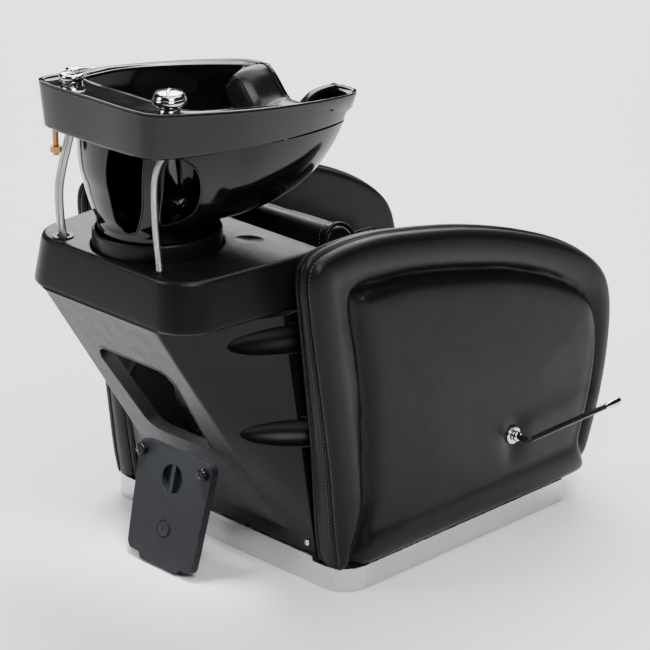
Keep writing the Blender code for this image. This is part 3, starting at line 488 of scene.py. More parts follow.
def make_arm(side, sign):
    outline = curve(ARM_SIDE, closed=True, every=0.0075)
    pad = curve(PAD_SIDE, closed=True, every=0.010)
    tangent = np.roll(outline, -1, 0) - np.roll(outline, 1, 0)
    normal = np.stack([tangent[:, 1], -tangent[:, 0]], 1) / np.linalg.norm(tangent, axis=1)[:, None]
    if not inside((outline - normal * 0.002)[:1], outline)[0]:
        normal = -normal
    z = outline[:, 1]
    inner = ARM_IN + 0.024 * smoothstep(0.05, 0.72, z)
    rim = ARM_OUT - 0.018

    def level(x, inset):
        flat = outline - normal * np.broadcast_to(inset, z.shape)[:, None]
        return np.column_stack([sign * np.broadcast_to(x, z.shape), flat])

    rings = []
    shares = np.concatenate([np.linspace(0.0, 0.84, 40)[1:], np.linspace(0.845, 0.997, 40)])
    for share in shares:
        flat = ARM_CENTRE + (outline - ARM_CENTRE) * share
        rings.append(np.column_stack([sign * (ARM_OUT + arm_face(flat, outline, pad, sign < 0)), flat]))
    rings.append(level(rim, 0.0))
    rings.append(level(rim - 0.0010, 0.0026))
    rings.append(level(rim - 0.0026, 0.0030))
    rings.append(level(rim - 0.0040, 0.0004))
    for share in np.linspace(0.08, 0.92, 9):
        x = rim - 0.004 + (inner + 0.018 - rim + 0.004) * share
        rings.append(level(x, -0.0042 * (1 - (2 * share - 1) ** 2)))
    rings.append(level(inner + 0.0180, 0.0004))
    rings.append(level(inner + 0.0166, 0.0030))
    rings.append(level(inner + 0.0150, 0.0026))
    for turn in np.linspace(0.1, 1.0, 6) * math.pi / 2:
        rings.append(level(inner + 0.0145 * (1 - math.sin(turn)), 0.0145 * (1 - math.cos(turn))))
    for share in np.linspace(0.93, 0.03, 10):
        flat = ARM_CENTRE + (outline - ARM_CENTRE) * share
        back = inner - 0.0012 * (1 - share)
        rings.append(np.column_stack([sign * np.maximum(back, ARM_IN), flat]))
    arm = dress(rings_mesh("arm_upholstery_" + side, rings), "leather",
                replaces=("arm_" + side, "arm_pad_" + side))

    above = outline[:, 1] > ARM_LOW + 0.006
    start = int(np.argmax(~above))
    order = [(start + k) % len(outline) for k in range(len(outline)) if above[(start + k) % len(outline)]]
    for row, x, out in (("outer", rim - 0.0085, 0.0022), ("inner", inner + 0.0225, 0.0022),
                        ("edge", np.full(z.shape, rim + 0.0052), -0.0010)):
        stitches(f"arm_stitches_{row}_{side}", level(x, -out)[order])
    for row, x in (("outer", np.full(z.shape, rim - 0.0016)), ("inner", inner + 0.0163)):
        dress(sweep(f"arm_piping_{row}_{side}", level(x, 0.0002)[order], 0.0016, 8), "leather")
    corner = int(np.argmin(np.linalg.norm(outline - (0.402, 0.700), axis=1)))
    across = np.linspace(rim - 0.004, inner[corner] + 0.018, 12)
    share = np.linspace(0, 1, 12)
    lift = outline[corner] + np.outer(0.0042 * (1 - (2 * share - 1) ** 2) + 0.0003, normal[corner])
    line = np.column_stack([sign * across, lift])
    dress(sweep("arm_cross_seam_" + side, line, 0.0010, 6), "leather", material=SEAM)
    stitches("arm_cross_stitches_" + side, line + (0, -0.0045, 0.0035))


# ---------------------------------------------------------------- cushions


def swollen(obj, cap, pressure=4.0):
    """Swells a piece as a cloth skin under pressure, never moving a point further than cap."""
    modify(obj, "REMESH", mode="VOXEL", voxel_size=0.0065)
    apply(obj)
    rest = np.array([v.co for v in obj.data.vertices])
    cloth = obj.modifiers.new("Cloth", "CLOTH")
    cloth.settings.quality = 4
    cloth.settings.mass = 0.3
    cloth.settings.use_pressure = True
    cloth.settings.uniform_pressure_force = pressure
    cloth.settings.effector_weights.gravity = 0.0
    cloth.settings.tension_stiffness = 20.0
    cloth.settings.compression_stiffness = 20.0
    cloth.settings.bending_stiffness = 0.8
    cloth.point_cache.frame_start, cloth.point_cache.frame_end = 1, 20
    for step in range(1, 21):
        bpy.context.scene.frame_set(step)
    apply(obj)
    bpy.context.scene.frame_set(1)
    moved = np.array([v.co for v in obj.data.vertices])
    push = moved - rest
    size = np.linalg.norm(push, axis=1)
    push *= (np.minimum(size, cap) / np.maximum(size, 1e-9))[:, None]
    obj.data.vertices.foreach_set("co", (rest + push).ravel())
    modify(obj, "SMOOTH", factor=0.6, iterations=4)
    modify(obj, "SUBSURF", levels=1, render_levels=1)
    return apply(obj)


def cushion(name, section, low, high, nodes, cap=0.010, body="root", dish=0.0):
    """A padded block: a rounded (y, z) section carried along X, swollen, with piping round both ends."""
    outline = curve(section, closed=True, every=0.008)
    middle = outline.mean(0)
    rings = []
    for x, share in ((low, 0.94), (low + 0.004, 0.98), (low + 0.012, 1.0), (high - 0.012, 1.0),
                     (high - 0.004, 0.98), (high, 0.94)):
        flat = middle + (outline - middle) * share
        rings.append(np.column_stack([np.full(len(flat), x), flat]))
    pad = swollen(rings_mesh(name, rings), cap)
    if dish:
        points = np.array([v.co for v in pad.data.vertices])
        across = np.clip(1 - (2 * points[:, 0] / (high - low)) ** 2, 0, 1)
        points[:, 2] -= dish * across * smoothstep(middle[1], outline[:, 1].max(), points[:, 2])
        pad.data.vertices.foreach_set("co", points.ravel())
    dress(pad, "leather", body, nodes)
    for side, x in (("right", low + 0.010), ("left", high - 0.010)):
        line = np.column_stack([np.full(len(outline), x), middle + (outline - middle) * 1.010])
        dress(sweep(f"{name}_piping_{side}", line, 0.0042, 8, closed=True), "leather", body)
        inward = 0.016 if side == "right" else -0.016
        row = np.column_stack([np.full(len(outline), x + inward), middle + (outline - middle) * 1.018])
        stitches(f"{name}_stitches_{side}", row, body, closed=True)
    return pad


def make_cushions():
    low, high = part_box("backrest_cushion")
    lean = 0.123 / 0.36
    foot, top = low.z, high.z
    base = 0.0760

    def at(z, depth):
        return (base + (z - 0.38) * lean + depth, z)

    section = [at(foot + 0.010, 0.002), at(foot + 0.10, -0.002), at(foot + 0.22, -0.002), at(top - 0.055, 0.002),
               at(top - 0.014, 0.016), at(top - 0.001, 0.038), at(top - 0.002, 0.056), at(top - 0.018, 0.078),
               at(top - 0.060, 0.090), at(foot + 0.22, 0.091), at(foot + 0.10, 0.091), at(foot + 0.010, 0.090),
               at(foot + 0.001, 0.060), at(foot + 0.001, 0.022)]
    nodes = ("backrest_cushion", "backrest_board")
    cushion("backrest", section, low.x + 0.004, high.x - 0.004, nodes, 0.010)
    low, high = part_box("seat_cushion")
    section = [(low.y + 0.004, low.z + 0.020), (low.y + 0.003, high.z - 0.030), (low.y + 0.018, high.z - 0.008),
               (low.y + 0.050, high.z), (-0.15, high.z + 0.002), (high.y - 0.040, high.z - 0.004),
               (high.y - 0.008, high.z - 0.014), (high.y - 0.003, low.z + 0.020), (high.y - 0.015, low.z + 0.002),
               (-0.15, low.z + 0.001), (low.y + 0.015, low.z + 0.002)]
    cushion("seat", section, low.x + 0.004, high.x - 0.004, ("seat_cushion",), 0.010, dish=0.008)
    low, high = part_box("leg_rest_pad")
    section = [(low.y + 0.003, low.z + 0.030), (low.y + 0.002, 0.200), (low.y + 0.003, high.z - 0.030),
               (low.y + 0.012, high.z - 0.006), (high.y - 0.010, high.z - 0.002), (high.y - 0.002, high.z - 0.018),
               (high.y - 0.001, 0.200), (high.y - 0.002, low.z + 0.018), (high.y - 0.010, low.z + 0.002),
               (low.y + 0.012, low.z + 0.006)]
    cushion("leg_rest", section, low.x + 0.004, high.x - 0.004, ("leg_rest_pad",), 0.006, "leg_rest")


# ---------------------------------------------------------------- housing

DECK_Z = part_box("housing")[1].z
BAND_Z = DECK_Z - 0.100
HOUSING_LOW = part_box("housing")[0].z
HOUSING_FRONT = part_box("housing")[0].y
RAKE = 0.623
WALL_TOP_Y = 0.642
FOOT_Y = 0.328
TILT = np.array([0.0, 0.487, 0.725])
TILT_LINE = Vector((0.0, 0.487, 0.0))
TRAY_R = 0.134


def wall_y(z):
    return max(WALL_TOP_Y - RAKE * (BAND_Z - z), FOOT_Y)


def housing_ring(z, grow=0.0, band=False, front=HOUSING_FRONT):
    if band:
        flare = 0.014 * (DECK_Z - z) / (DECK_Z - BAND_Z)
        side = (0.252 + flare + grow, 0.360)
        corner = (0.226 + flare + grow, 0.628 + flare + grow)
        radius = 0.080 + grow
    else:
        side = (0.268 + grow, 0.318 + 0.160 * (z - 0.052))
        corner = (0.168 + grow * 0.8, wall_y(z) + grow)
        radius = 0.010
    half = [(side[0], front, 0), (side[0], side[1], 0.004), (corner[0], corner[1], radius)]
    outline = np.array(rounded(half + [(-x, y, r) for x, y, r in reversed(half)], 8))
    ring = []
    for start in range(0, len(outline), 9):
        corner, after = outline[start:start + 9], outline[(start + 9) % len(outline)]
        ring += list(corner) + [corner[-1] + (after - corner[-1]) * share for share in np.linspace(0, 1, 8)[1:-1]]
    return [(x, y, z) for x, y in ring]


def window_outline(grow=0.0):
    top, low = 0.478 + grow, 0.262 - grow
    wide, narrow = 0.120 + grow, 0.098 + grow
    return rounded([(-narrow, low, 0.024), (narrow, low, 0.024), (wide, top, 0.034), (-wide, top, 0.034)], 10)


def scoops():
    """Centre, half sizes, turn and outward direction of the two finger scoops on each raked side wall."""
    for name, z, half_length, half_height in (("upper", 0.545, 0.120, 0.030), ("lower", 0.340, 0.117, 0.030)):
        foot = np.array([0.268, 0.318 + 0.160 * (z - 0.052)])
        ridge = np.array([0.168, wall_y(z)])
        way = (ridge - foot) / np.linalg.norm(ridge - foot)
        for sign, side in ((RIGHT, "right"), (LEFT, "left")):
            centre = Vector((sign * foot[0], foot[1], z))
            outward = Vector((sign * way[1], -way[0], 0.0))
            if outward.x * sign < 0:
                outward.negate()
            turn = math.atan2(way[1], sign * way[0])
            yield f"{name}_{side}", centre, (half_length, 0.030, half_height), turn, outward


def make_scoop_liners():
    for name, centre, radii, turn, outward in scoops():
        liner = ellipsoid("scoop_liner_" + name, centre, [r + 0.0004 for r in radii], turn, 72)
        shape = bmesh.new()
        shape.from_mesh(liner.data)
        parts = shape.verts[:] + shape.edges[:] + shape.faces[:]
        bmesh.ops.bisect_plane(shape, geom=parts, plane_co=centre - outward * 0.0030, plane_no=outward,
                               clear_outer=True)
        shape.to_mesh(liner.data)
        shape.free()
        modify(liner, "SOLIDIFY", thickness=0.003, offset=1.0)
        dress(apply(liner), "housing_plastic", sharp=60.0)


def make_housing():
    knee = BAND_Z - (WALL_TOP_Y - FOOT_Y) / RAKE
    heights = np.linspace(knee, BAND_Z - 0.010, 27)
    levels = [housing_ring(HOUSING_LOW)] + [housing_ring(z) for z in heights]
    levels += [housing_ring(BAND_Z - 0.004, 0.001),
               housing_ring(BAND_Z - 0.001, -0.004, True), housing_ring(BAND_Z + 0.003, -0.0008, True),
               housing_ring(BAND_Z + 0.010, 0.0, True), housing_ring(BAND_Z + 0.050, 0.0, True)]
    levels += [housing_ring(DECK_Z - 0.009 + 0.009 * math.sin(t), -0.009 * (1 - math.cos(t)), True)
               for t in np.linspace(0, math.pi / 2, 6)]
    shell = rings_mesh("housing_shell", levels)
    wall, ahead = 0.006, HOUSING_FRONT - 0.03
    hollow = [housing_ring(HOUSING_LOW - 0.02, -wall, front=ahead)]
    hollow += [housing_ring(z, -wall, front=ahead) for z in heights]
    hollow += [housing_ring(BAND_Z - 0.004, -wall, front=ahead)]
    hollow += [housing_ring(z, -wall - 0.002, True, ahead) for z in (BAND_Z + wall, DECK_Z - wall)]
    cut(shell, rings_mesh("hollow", hollow))
    cut(shell, turned("tray_hole", [(TRAY_R + 0.0006, -0.04), (TRAY_R + 0.0006, 0.04)],
                      (TILT[0], TILT[1], DECK_Z), 96))
    for x, y, radius in ((0.150, 0.600, 0.018), (-0.132, 0.598, 0.012)):
        cut(shell, turned("hose_hole", [(radius, -0.04), (radius, 0.04)], (x, y, DECK_Z), 32))
    cut(shell, ellipsoid("deck_dish", (-0.116, 0.352, DECK_Z + 0.0165), (0.046, 0.034, 0.0220), 0.5))
    outline = window_outline()
    cut(shell, rings_mesh("window_hole", [[(x, y, z) for x, z in outline] for y in (0.34, 0.62)]))
    for name, centre, radii, turn, _ in scoops():
        cut(shell, ellipsoid("scoop", centre, radii, turn, 72))
    for sign in (RIGHT, LEFT):
        place = Matrix.Translation((sign * 0.250, 0.326, 0.083)) @ Matrix.Rotation(math.radians(-90), 4, "X")
        cut(shell, turned("screw_hole", [(0.0034, -0.03), (0.0034, 0.03)], steps=20, frame_matrix=place))
    soften(shell, 0.0022, 3, 24.0)
    dress(shell, "housing_plastic", replaces=("housing",), sharp=40.0)

    rings = []
    for grow, depth in ((-0.0004, 0.0004), (-0.0030, 0.0016), (-0.0050, 0.0004), (-0.0056, -0.0040),
                        (-0.0056, -0.0300), (-0.0036, -0.0320), (-0.0004, -0.0320)):
        rings.append([(x, wall_y(z) + depth, z) for x, z in window_outline(grow)])
    dress(rings_mesh("window_liner", rings, closed=True), "housing_plastic", replaces=("window_trim",), sharp=40.0)


def make_collar():
    floor = 0.674
    profile = [(0.098, floor), (TRAY_R - 0.0004, floor), (TRAY_R - 0.0004, DECK_Z - 0.0030),
               (TRAY_R + 0.0012, DECK_Z - 0.0006), (TRAY_R + 0.0010, DECK_Z + 0.0003), (TRAY_R - 0.0020, DECK_Z - 0.0004),
               (TRAY_R - 0.0032, DECK_Z - 0.0025), (TRAY_R - 0.0036, floor + 0.008), (TRAY_R - 0.0044, floor + 0.005),
               (0.1284, floor + 0.005), (0.1276, floor + 0.007), (0.1272, 0.7290), (0.1262, 0.7320),
               (0.1245, 0.7332), (0.1222, 0.7326), (0.1206, 0.7300), (0.1206, floor + 0.006), (0.098, floor + 0.005)]
    collar = turned("collar_ring", profile, (TILT[0], TILT[1], 0), 128, closed=True)
    seam = rings_mesh("collar_joint", [[(x, y, z) for x, y in ((-0.0008, 0.1262), (0.0008, 0.1262), (0.0008, 0.14),
                                                              (-0.0008, 0.14))] for z in (0.683, 0.75)])
    seam.data.transform(Matrix.Translation((TILT[0], TILT[1], 0)) @ Matrix.Rotation(math.radians(40), 4, "Z"))
    cut(collar, seam)
    dress(collar, "housing_plastic", replaces=("deck_collar",), sharp=40.0)


# ---------------------------------------------------------------- bowl


BOWL_CENTRE = np.array([0.0, 0.44])
HEADINGS = np.concatenate([np.linspace(0, 2.5, 121)[:-1], np.linspace(2.5, 2 * math.pi - 2.5, 221)[:-1],
                           np.linspace(2 * math.pi - 2.5, 2 * math.pi, 121)[:-1]])


def reach(loop):
    """How far an outline stands from the bowl's centre line at each heading, 0 at the rear."""
    out = loop - BOWL_CENTRE
    heading = np.mod(np.arctan2(out[:, 0], out[:, 1]), 2 * math.pi)
    order = np.argsort(heading)
    return np.interp(HEADINGS, heading[order], np.linalg.norm(out, axis=1)[order], period=2 * math.pi)


def bowl_reach(front, rear, half):
    """The basin's outline: wide rear corners, sides drawing in to the front."""
    length = rear - front
    side = [(0.0, rear), (0.56 * half, rear), (0.80 * half, rear - 0.03 * length), (0.90 * half, rear - 0.14 * length),
            (half, front + 0.60 * length), (0.97 * half, front + 0.32 * length), (0.86 * half, front + 0.10 * length),
            (0.72 * half, front + 0.012 * length), (0.36 * half, front + 0.002 * length), (0.0, front)]
    return reach(curve(side + [(-x, y) for x, y in reversed(side[1:-1])], closed=True, steps=40))


def neck_reach(half, front, rear):
    """The pedestal's outline, an ellipse."""
    turn = np.arange(720) * 2 * math.pi / 720
    return reach(np.column_stack([half * np.cos(turn), (front + rear) / 2 + (rear - front) / 2 * np.sin(turn)]))


def spread(far, front, rear, z_front, z_rear):
    """A ring of points at these distances from the centre line, its height running from front to rear."""
    x, y = far * np.sin(HEADINGS), BOWL_CENTRE[1] + far * np.cos(HEADINGS)
    return np.column_stack([x, y, z_front + (z_rear - z_front) * (y - front) / (rear - front)])


def bowl_ring(front, rear, half, z_front, z_rear):
    return spread(bowl_reach(front, rear, half), front, rear, z_front, z_rear)


def notch_z(x):
    """Height of the neck notch's edge across the bowl's front."""
    across = np.abs(x)
    return 0.8945 + 0.060 * smoothstep(0.030, 0.104, across) + 0.30 * smoothstep(0.098, 0.122, across)


def dip(ring, drop=0.0):
    """Lowers the part of a ring that the neck notch takes away."""
    ring = ring.copy()
    front = smoothstep(0.235, 0.200, ring[:, 1])
    limit = notch_z(ring[:, 0]) - drop + (1 - front) * 0.5
    ring[:, 2] = np.minimum(ring[:, 2], limit)
    return ring


def between(a, b, share):
    return a + (b - a) * share


def lift(ring, dz):
    return ring + np.column_stack([np.zeros((len(ring), 2)), np.broadcast_to(dz, (len(ring),))])


def drawn_in(ring, inset):
    """A ring moved towards the bowl's centre line."""
    flat = ring[:, :2] - BOWL_CENTRE
    flat = flat * (1 - inset / np.linalg.norm(flat, axis=1))[:, None]
    return np.column_stack([flat + BOWL_CENTRE, ring[:, 2]])


RIM = bowl_ring(0.086, 0.650, 0.208, 0.957, 1.026)
SKIRT = bowl_ring(0.116, 0.644, 0.200, 0.905, 0.936)


def skin_ring(z_front, z_rear, front, rear, half, neck_half, neck_front, neck_rear, inset=0.0):
    """One level of the outer skin: the basin's outline flowing into the pedestal's."""
    basin, neck = bowl_reach(front, rear, half), neck_reach(neck_half, neck_front, neck_rear)
    fillet = 0.008
    far = np.maximum(basin, neck) + np.maximum(fillet - np.abs(basin - neck), 0) ** 2 / (4 * fillet) - inset
    return spread(far, min(front, neck_front), neck_rear, z_front, z_rear)


def make_bowl_skin():
    """The outer skin from the rim down to the neck, with the overhanging skirt at the rear and two windows."""
    table = [(0.903, 0.934, 0.1172, 0.556, 0.1997, 0.186, 0.300, 0.622),
             (0.868, 0.890, 0.141, 0.556, 0.1970, 0.182, 0.312, 0.622),
             (0.838, 0.852, 0.168, 0.550, 0.1925, 0.175, 0.322, 0.621),
             (0.812, 0.824, 0.198, 0.540, 0.1850, 0.164, 0.332, 0.616),
             (0.788, 0.796, 0.232, 0.530, 0.1710, 0.150, 0.344, 0.612),
             (0.770, 0.774, 0.274, 0.512, 0.1450, 0.137, 0.355, 0.608),
             (0.757, 0.759, 0.322, 0.495, 0.1060, 0.1250, 0.365, 0.604),
             (0.748, 0.748, 0.368, 0.485, 0.0550, 0.1178, 0.3697, 0.6042),
             (0.740, 0.740, 0.374, 0.485, 0.0500, 0.1162, 0.3708, 0.6032),
             (0.712, 0.712, 0.375, 0.485, 0.0500, 0.1156, 0.3714, 0.6026)]
    levels = [tuple(row) for row in curve(table, steps=4)]
    skin = [skin_ring(*level) for level in levels]
    lining = [skin_ring(*level, inset=0.0075) for level in levels]
    hang = smoothstep(0.44, 0.56, SKIRT[:, 1])
    rows = [dip(RIM, 0.0050)]
    rows += [dip(between(RIM, SKIRT, share), 0.0052) for share in (0.05, 0.16, 0.32, 0.5, 0.68, 0.84, 0.95)]
    for share, drop, low in ((0.0, 0.0, 0.010), (0.06, 0.0026, 0.011), (0.16, 0.0036, 0.012), (0.5, 0.0020, 0.013),
                             (0.94, 0.0012, 0.014)):
        rows.append(dip(lift(between(SKIRT, skin[0], share), -drop * hang), low))
    rows += [dip(ring, 0.020) for ring in skin]
    rows += [dip(ring, 0.030) for ring in lining[::-1]]
    rows += [dip(lift(drawn_in(SKIRT, 0.0060), 0.004), 0.026), dip(lift(drawn_in(RIM, 0.0045), -0.012), 0.018)]
    shell = rings_mesh("bowl_skin", rows, closed=True)
    rear = [(-0.026, 0.926), (-0.037, 0.900), (-0.0405, 0.862), (-0.035, 0.810), (-0.028, 0.776), (-0.010, 0.756),
            (0.014, 0.757), (0.029, 0.785), (0.040, 0.830), (0.045, 0.890), (0.045, 0.924), (0.010, 0.931)]
    right = [(-0.036, 0.784), (-0.020, 0.780), (0.008, 0.790), (0.024, 0.804), (0.0305, 0.830), (0.0312, 0.862),
             (0.023, 0.892), (0.004, 0.911), (-0.020, 0.921), (-0.034, 0.904), (-0.038, 0.850)]
    tree = BVHTree.FromObject(shell, bpy.context.evaluated_depsgraph_get())
    for name, heading, outline in (("rear", 112, rear), ("right", 158, right)):
        out = Vector((math.cos(math.radians(heading)), math.sin(math.radians(heading)), 0.0))
        across = -out.cross(Vector((0, 0, 1)))
        loop = [TILT_LINE + across * t + Vector((0, 0, z)) for t, z in curve(outline, closed=True, steps=6)]
        cut(shell, rings_mesh("pedestal_window", [[p + out * depth for p in loop] for depth in (0.07, 0.25)]))
        edge = [tree.ray_cast(p + out * 0.4, -out)[0] for p in loop]
        bead = sweep("window_edge_" + name, np.array([p - out * 0.0004 for p in edge]), 0.0021, 10, closed=True)
        dress(bead, "bowl_gloss", "bowl")
    dress(shell, "bowl_gloss", "bowl", ("bowl_pedestal",), sharp=40.0)


def make_bowl():
    inner_rim = bowl_ring(0.100, 0.548, 0.186, 0.950, 1.018)
    deep = bowl_ring(0.136, 0.542, 0.178, 0.906, 0.930)
    levels = [(0.136, 0.542, 0.178, 0.906, 0.930), (0.165, 0.535, 0.166, 0.874, 0.884),
              (0.226, 0.520, 0.140, 0.834, 0.834), (0.300, 0.500, 0.102, 0.798, 0.796),
              (0.352, 0.490, 0.066, 0.7870, 0.7870), (0.400, 0.472, 0.028, 0.7850, 0.7850)]
    basin = [bowl_ring(*level) for level in curve(levels, steps=5)[1:]]
    below = [bowl_ring(front - 0.006, rear + 0.006, half + 0.006, low - 0.007, high - 0.007)
             for front, rear, half, low, high in levels]
    rearness = smoothstep(0.40, 0.56, RIM[:, 1])
    ledge_depth = 0.0015 + 0.0050 * rearness
    width = np.linalg.norm((inner_rim - RIM)[:, :2], axis=1)

    def step(metres):
        return (metres / np.maximum(width, 0.012))[:, None]

    rows = below[::-1]
    rows.append(dip(lift(between(RIM, inner_rim, step(0.0085)), -0.030), 0.030))
    rows.append(dip(lift(RIM, -0.0062), 0.0062))
    rows.append(dip(lift(RIM, -0.0045), 0.0045))
    rows.append(dip(lift(between(RIM, inner_rim, 0.008), -0.0016), 0.0016))
    rows.append(dip(between(RIM, inner_rim, step(0.0024))))
    rows.append(dip(lift(between(RIM, inner_rim, step(0.0060)), -0.0002)))
    rows.append(dip(lift(between(RIM, inner_rim, step(0.0085)), -0.0012 - 0.2 * ledge_depth)))
    rows.append(dip(lift(between(RIM, inner_rim, step(0.0105)), -ledge_depth * 0.8)))
    ledge = between(RIM, inner_rim, step(0.0120))
    for share in (0.10, 0.5, 0.86):
        rows.append(dip(lift(between(ledge, inner_rim, share), -ledge_depth)))
    edge = lift(inner_rim, -ledge_depth)
    rows.append(dip(lift(edge, -0.0006)))
    for share in (0.08, 0.2, 0.5, 0.8):
        rows.append(dip(between(edge, deep, share), 0.003 * share))
    rows.append(dip(deep, 0.006))
    rows += basin
    shell = rings_mesh("bowl_basin_liner", rows)
    dress(shell, "bowl_gloss", "bowl", ("bowl_basin",))


def make_neck_rest():
    """The soft saddle in the neck notch: over the bowl's front edge, then down into the basin."""
    across = np.linspace(-0.112, 0.112, 57)
    profile = [(0.1060, -0.0160), (0.1000, -0.0120), (0.0985, -0.0020), (0.1010, 0.0050), (0.1080, 0.0085),
               (0.1220, 0.0100), (0.1420, 0.0095), (0.1600, 0.0060), (0.1760, -0.0020), (0.1880, -0.0120),
               (0.1990, -0.0260), (0.2040, -0.0360), (0.2010, -0.0390), (0.1940, -0.0350), (0.1800, -0.0170),
               (0.1620, -0.0060), (0.1450, -0.0020), (0.1200, -0.0010), (0.1120, -0.0040), (0.1110, -0.0150)]
    section = curve(profile, closed=True, steps=3)
    base = 0.8945 + 0.060 * smoothstep(0.030, 0.104, np.abs(across))
    line = np.column_stack([across, base])
    slope = np.gradient(line, axis=0)
    slope /= np.linalg.norm(slope, axis=1)[:, None]
    rings = []
    for k, x in enumerate(across):
        thin = 1 - 0.35 * (abs(x) / 0.112) ** 4
        up = np.array([-slope[k, 1], slope[k, 0]])
        rings.append([(line[k, 0] + up[0] * h * thin, y, line[k, 1] + up[1] * h * thin) for y, h in section])
    rest = rings_mesh("neck_saddle", rings)
    modify(rest, "SUBSURF", levels=1, render_levels=1)
    apply(rest)
    dress(rest, "rubber", "bowl", ("neck_rest",))
    for name, (y, h) in (("front", (0.1040, 0.0068)), ("rear", (0.1800, -0.0048))):
        path = [(line[k, 0] - slope[k, 1] * h, y, line[k, 1] + slope[k, 0] * h) for k in range(len(across))]
        dress(sweep("neck_saddle_bead_" + name, path, 0.0016, 8), "rubber", "bowl")


# ---------------------------------------------------------------- fittings


def make_tap():
    x, y = 0.095, 0.610
    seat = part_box("mixer_body")[0].z + 0.034
    body = [(0.0118, -0.0340), (0.0118, -0.0004), (0.0258, 0.0004), (0.0264, 0.0014), (0.0262, 0.0034),
            (0.0240, 0.0052), (0.0232, 0.0070), (0.0232, 0.0165), (0.0226, 0.0178), (0.0205, 0.0180)]
    dress(turned("tap_body", body, (x, y, seat)), "chrome", "bowl", ("mixer_body",), sharp=50.0)
    cap_low, cap_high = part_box("mixer_cap")
    height = cap_high.z - cap_low.z
    cap = [(0.0215, 0.0), (0.0236, 0.0006), (0.0245, 0.0030), (0.0243, height * 0.62), (0.0228, height * 0.86),
           (0.0190, height * 0.97), (0.0100, height), (0.0, height)]
    dress(turned("tap_cap", cap, (x, y, cap_low.z)), "chrome", "mixer_head", ("mixer_cap",), sharp=50.0)
    path = curve([(x, y + 0.009, cap_high.z + 0.0062), (x, y - 0.010, cap_high.z + 0.0062),
                  (x, y - 0.030, cap_high.z + 0.0030), (x, y - 0.048, cap_high.z - 0.0010),
                  (x, y - 0.0590, cap_high.z - 0.0020)], every=0.002)
    run = np.linspace(0, 1, len(path))
    radius = 0.0130 - 0.0072 * smoothstep(0.15, 0.75, run)
    radius *= np.sqrt(np.clip(1 - ((run - 0.5) / 0.503) ** 16, 0.02, 1))
    lever = sweep("tap_lever", path, radius, 20, flat=0.34)
    dress(lever, "chrome", "mixer_handle", ("mixer_lever",))
    mark = turned("tap_mark", [(0.0, -0.0002), (0.0022, -0.0002), (0.0024, 0.0004), (0.0, 0.0006)],
                  (x, y - 0.004, cap_high.z + 0.0104), 20)
    dress(mark, "rubber", "mixer_handle")


def make_handset():
    low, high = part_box("handset")
    x, y = (low.x + high.x) / 2, (low.y + high.y) / 2
    profile = [(0.0086, low.z), (0.0094, low.z + 0.002), (0.0110, low.z + 0.010), (0.0128, low.z + 0.014),
               (0.0128, 1.0215), (0.0150, 1.0232), (0.0262, 1.0262), (0.0310, 1.0300), (0.0322, 1.0350),
               (0.0314, 1.0386), (0.0300, 1.0400), (0.0306, 1.0412), (0.0286, 1.0462), (0.0230, 1.0500),
               (0.0140, 1.0520), (0.0, high.z)]
    head = turned("hand_shower", profile, (x, y, 0), 56)
    dress(head, "chrome", "handset_body", ("handset",), sharp=50.0)
    bar = curve([(x + 0.018, y - 0.020, 1.0474), (x + 0.006, y - 0.006, 1.0535), (x - 0.006, y + 0.008, 1.0538),
                 (x - 0.019, y + 0.020, 1.0466)], every=0.002)
    dress(sweep("hand_shower_bar", bar, 0.0032, 12, flat=0.7), "chrome", "handset_body")
    for k, (radius, z) in enumerate(((0.0318, 1.0362), (0.0250, 1.0494))):
        loop = [(x + radius * math.cos(t), y + radius * math.sin(t), z) for t in np.arange(48) * 2 * math.pi / 48]
        dress(sweep(f"hand_shower_ring_{k}", np.array(loop), 0.0008, 6, closed=True), "rubber", "handset_body")
    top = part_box("handset_holder")
    holder = [(0.0136, 0.0), (0.0154, 0.0), (0.0154, 0.0200), (0.0218, 0.0204), (0.0220, 0.0222), (0.0206, 0.0250),
              (0.0180, 0.0272), (0.0150, 0.0280), (0.0136, 0.0274)]
    dress(turned("hand_shower_holder", holder, (x, y, top[0].z), 40, closed=True), "chrome", "bowl",
          ("handset_holder",), sharp=50.0)


def supply_route(shift):
    return [(0.095 + shift, 0.610, 0.977), (0.095 + shift, 0.610, 0.957), (0.108 + shift, 0.607, 0.925),
            (0.125 + shift, 0.605, 0.885), (0.138 + shift, 0.605, 0.850), (0.150 + shift, 0.606, 0.800),
            (0.152 + shift, 0.604, 0.740), (0.150 + shift, 0.600, 0.700), (0.146 + shift, 0.592, 0.650),
            (0.132 + shift, 0.555, 0.590), (0.100 + shift, 0.490, 0.500), (0.066 + shift, 0.425, 0.400),
            (0.030 + shift, 0.370, 0.310), (0.000 + shift, 0.320, 0.230), (-0.016 + 2 * shift, 0.286, 0.160),
            (-0.020 + 4 * shift, 0.280, 0.110), (-0.020 + 4 * shift, 0.280, 0.097)]


HANDSET_ROUTE = [(-0.146, 0.576, 0.960), (-0.146, 0.576, 0.944), (-0.132, 0.592, 0.912), (-0.126, 0.600, 0.870),
                 (-0.127, 0.601, 0.790), (-0.132, 0.598, 0.715), (-0.132, 0.598, 0.685), (-0.130, 0.586, 0.645),
                 (-0.118, 0.540, 0.570), (-0.100, 0.480, 0.480), (-0.086, 0.420, 0.390), (-0.074, 0.370, 0.320),
                 (-0.064, 0.335, 0.270)]
DRAIN_ROUTE = [(0.0, 0.430, 0.688), (0.0, 0.430, 0.668), (0.002, 0.424, 0.630), (0.010, 0.405, 0.580),
               (0.040, 0.385, 0.500), (0.070, 0.370, 0.400), (0.090, 0.345, 0.300), (0.100, 0.300, 0.200),
               (0.104, 0.266, 0.140), (0.104, 0.262, 0.110), (0.104, 0.262, 0.0925)]


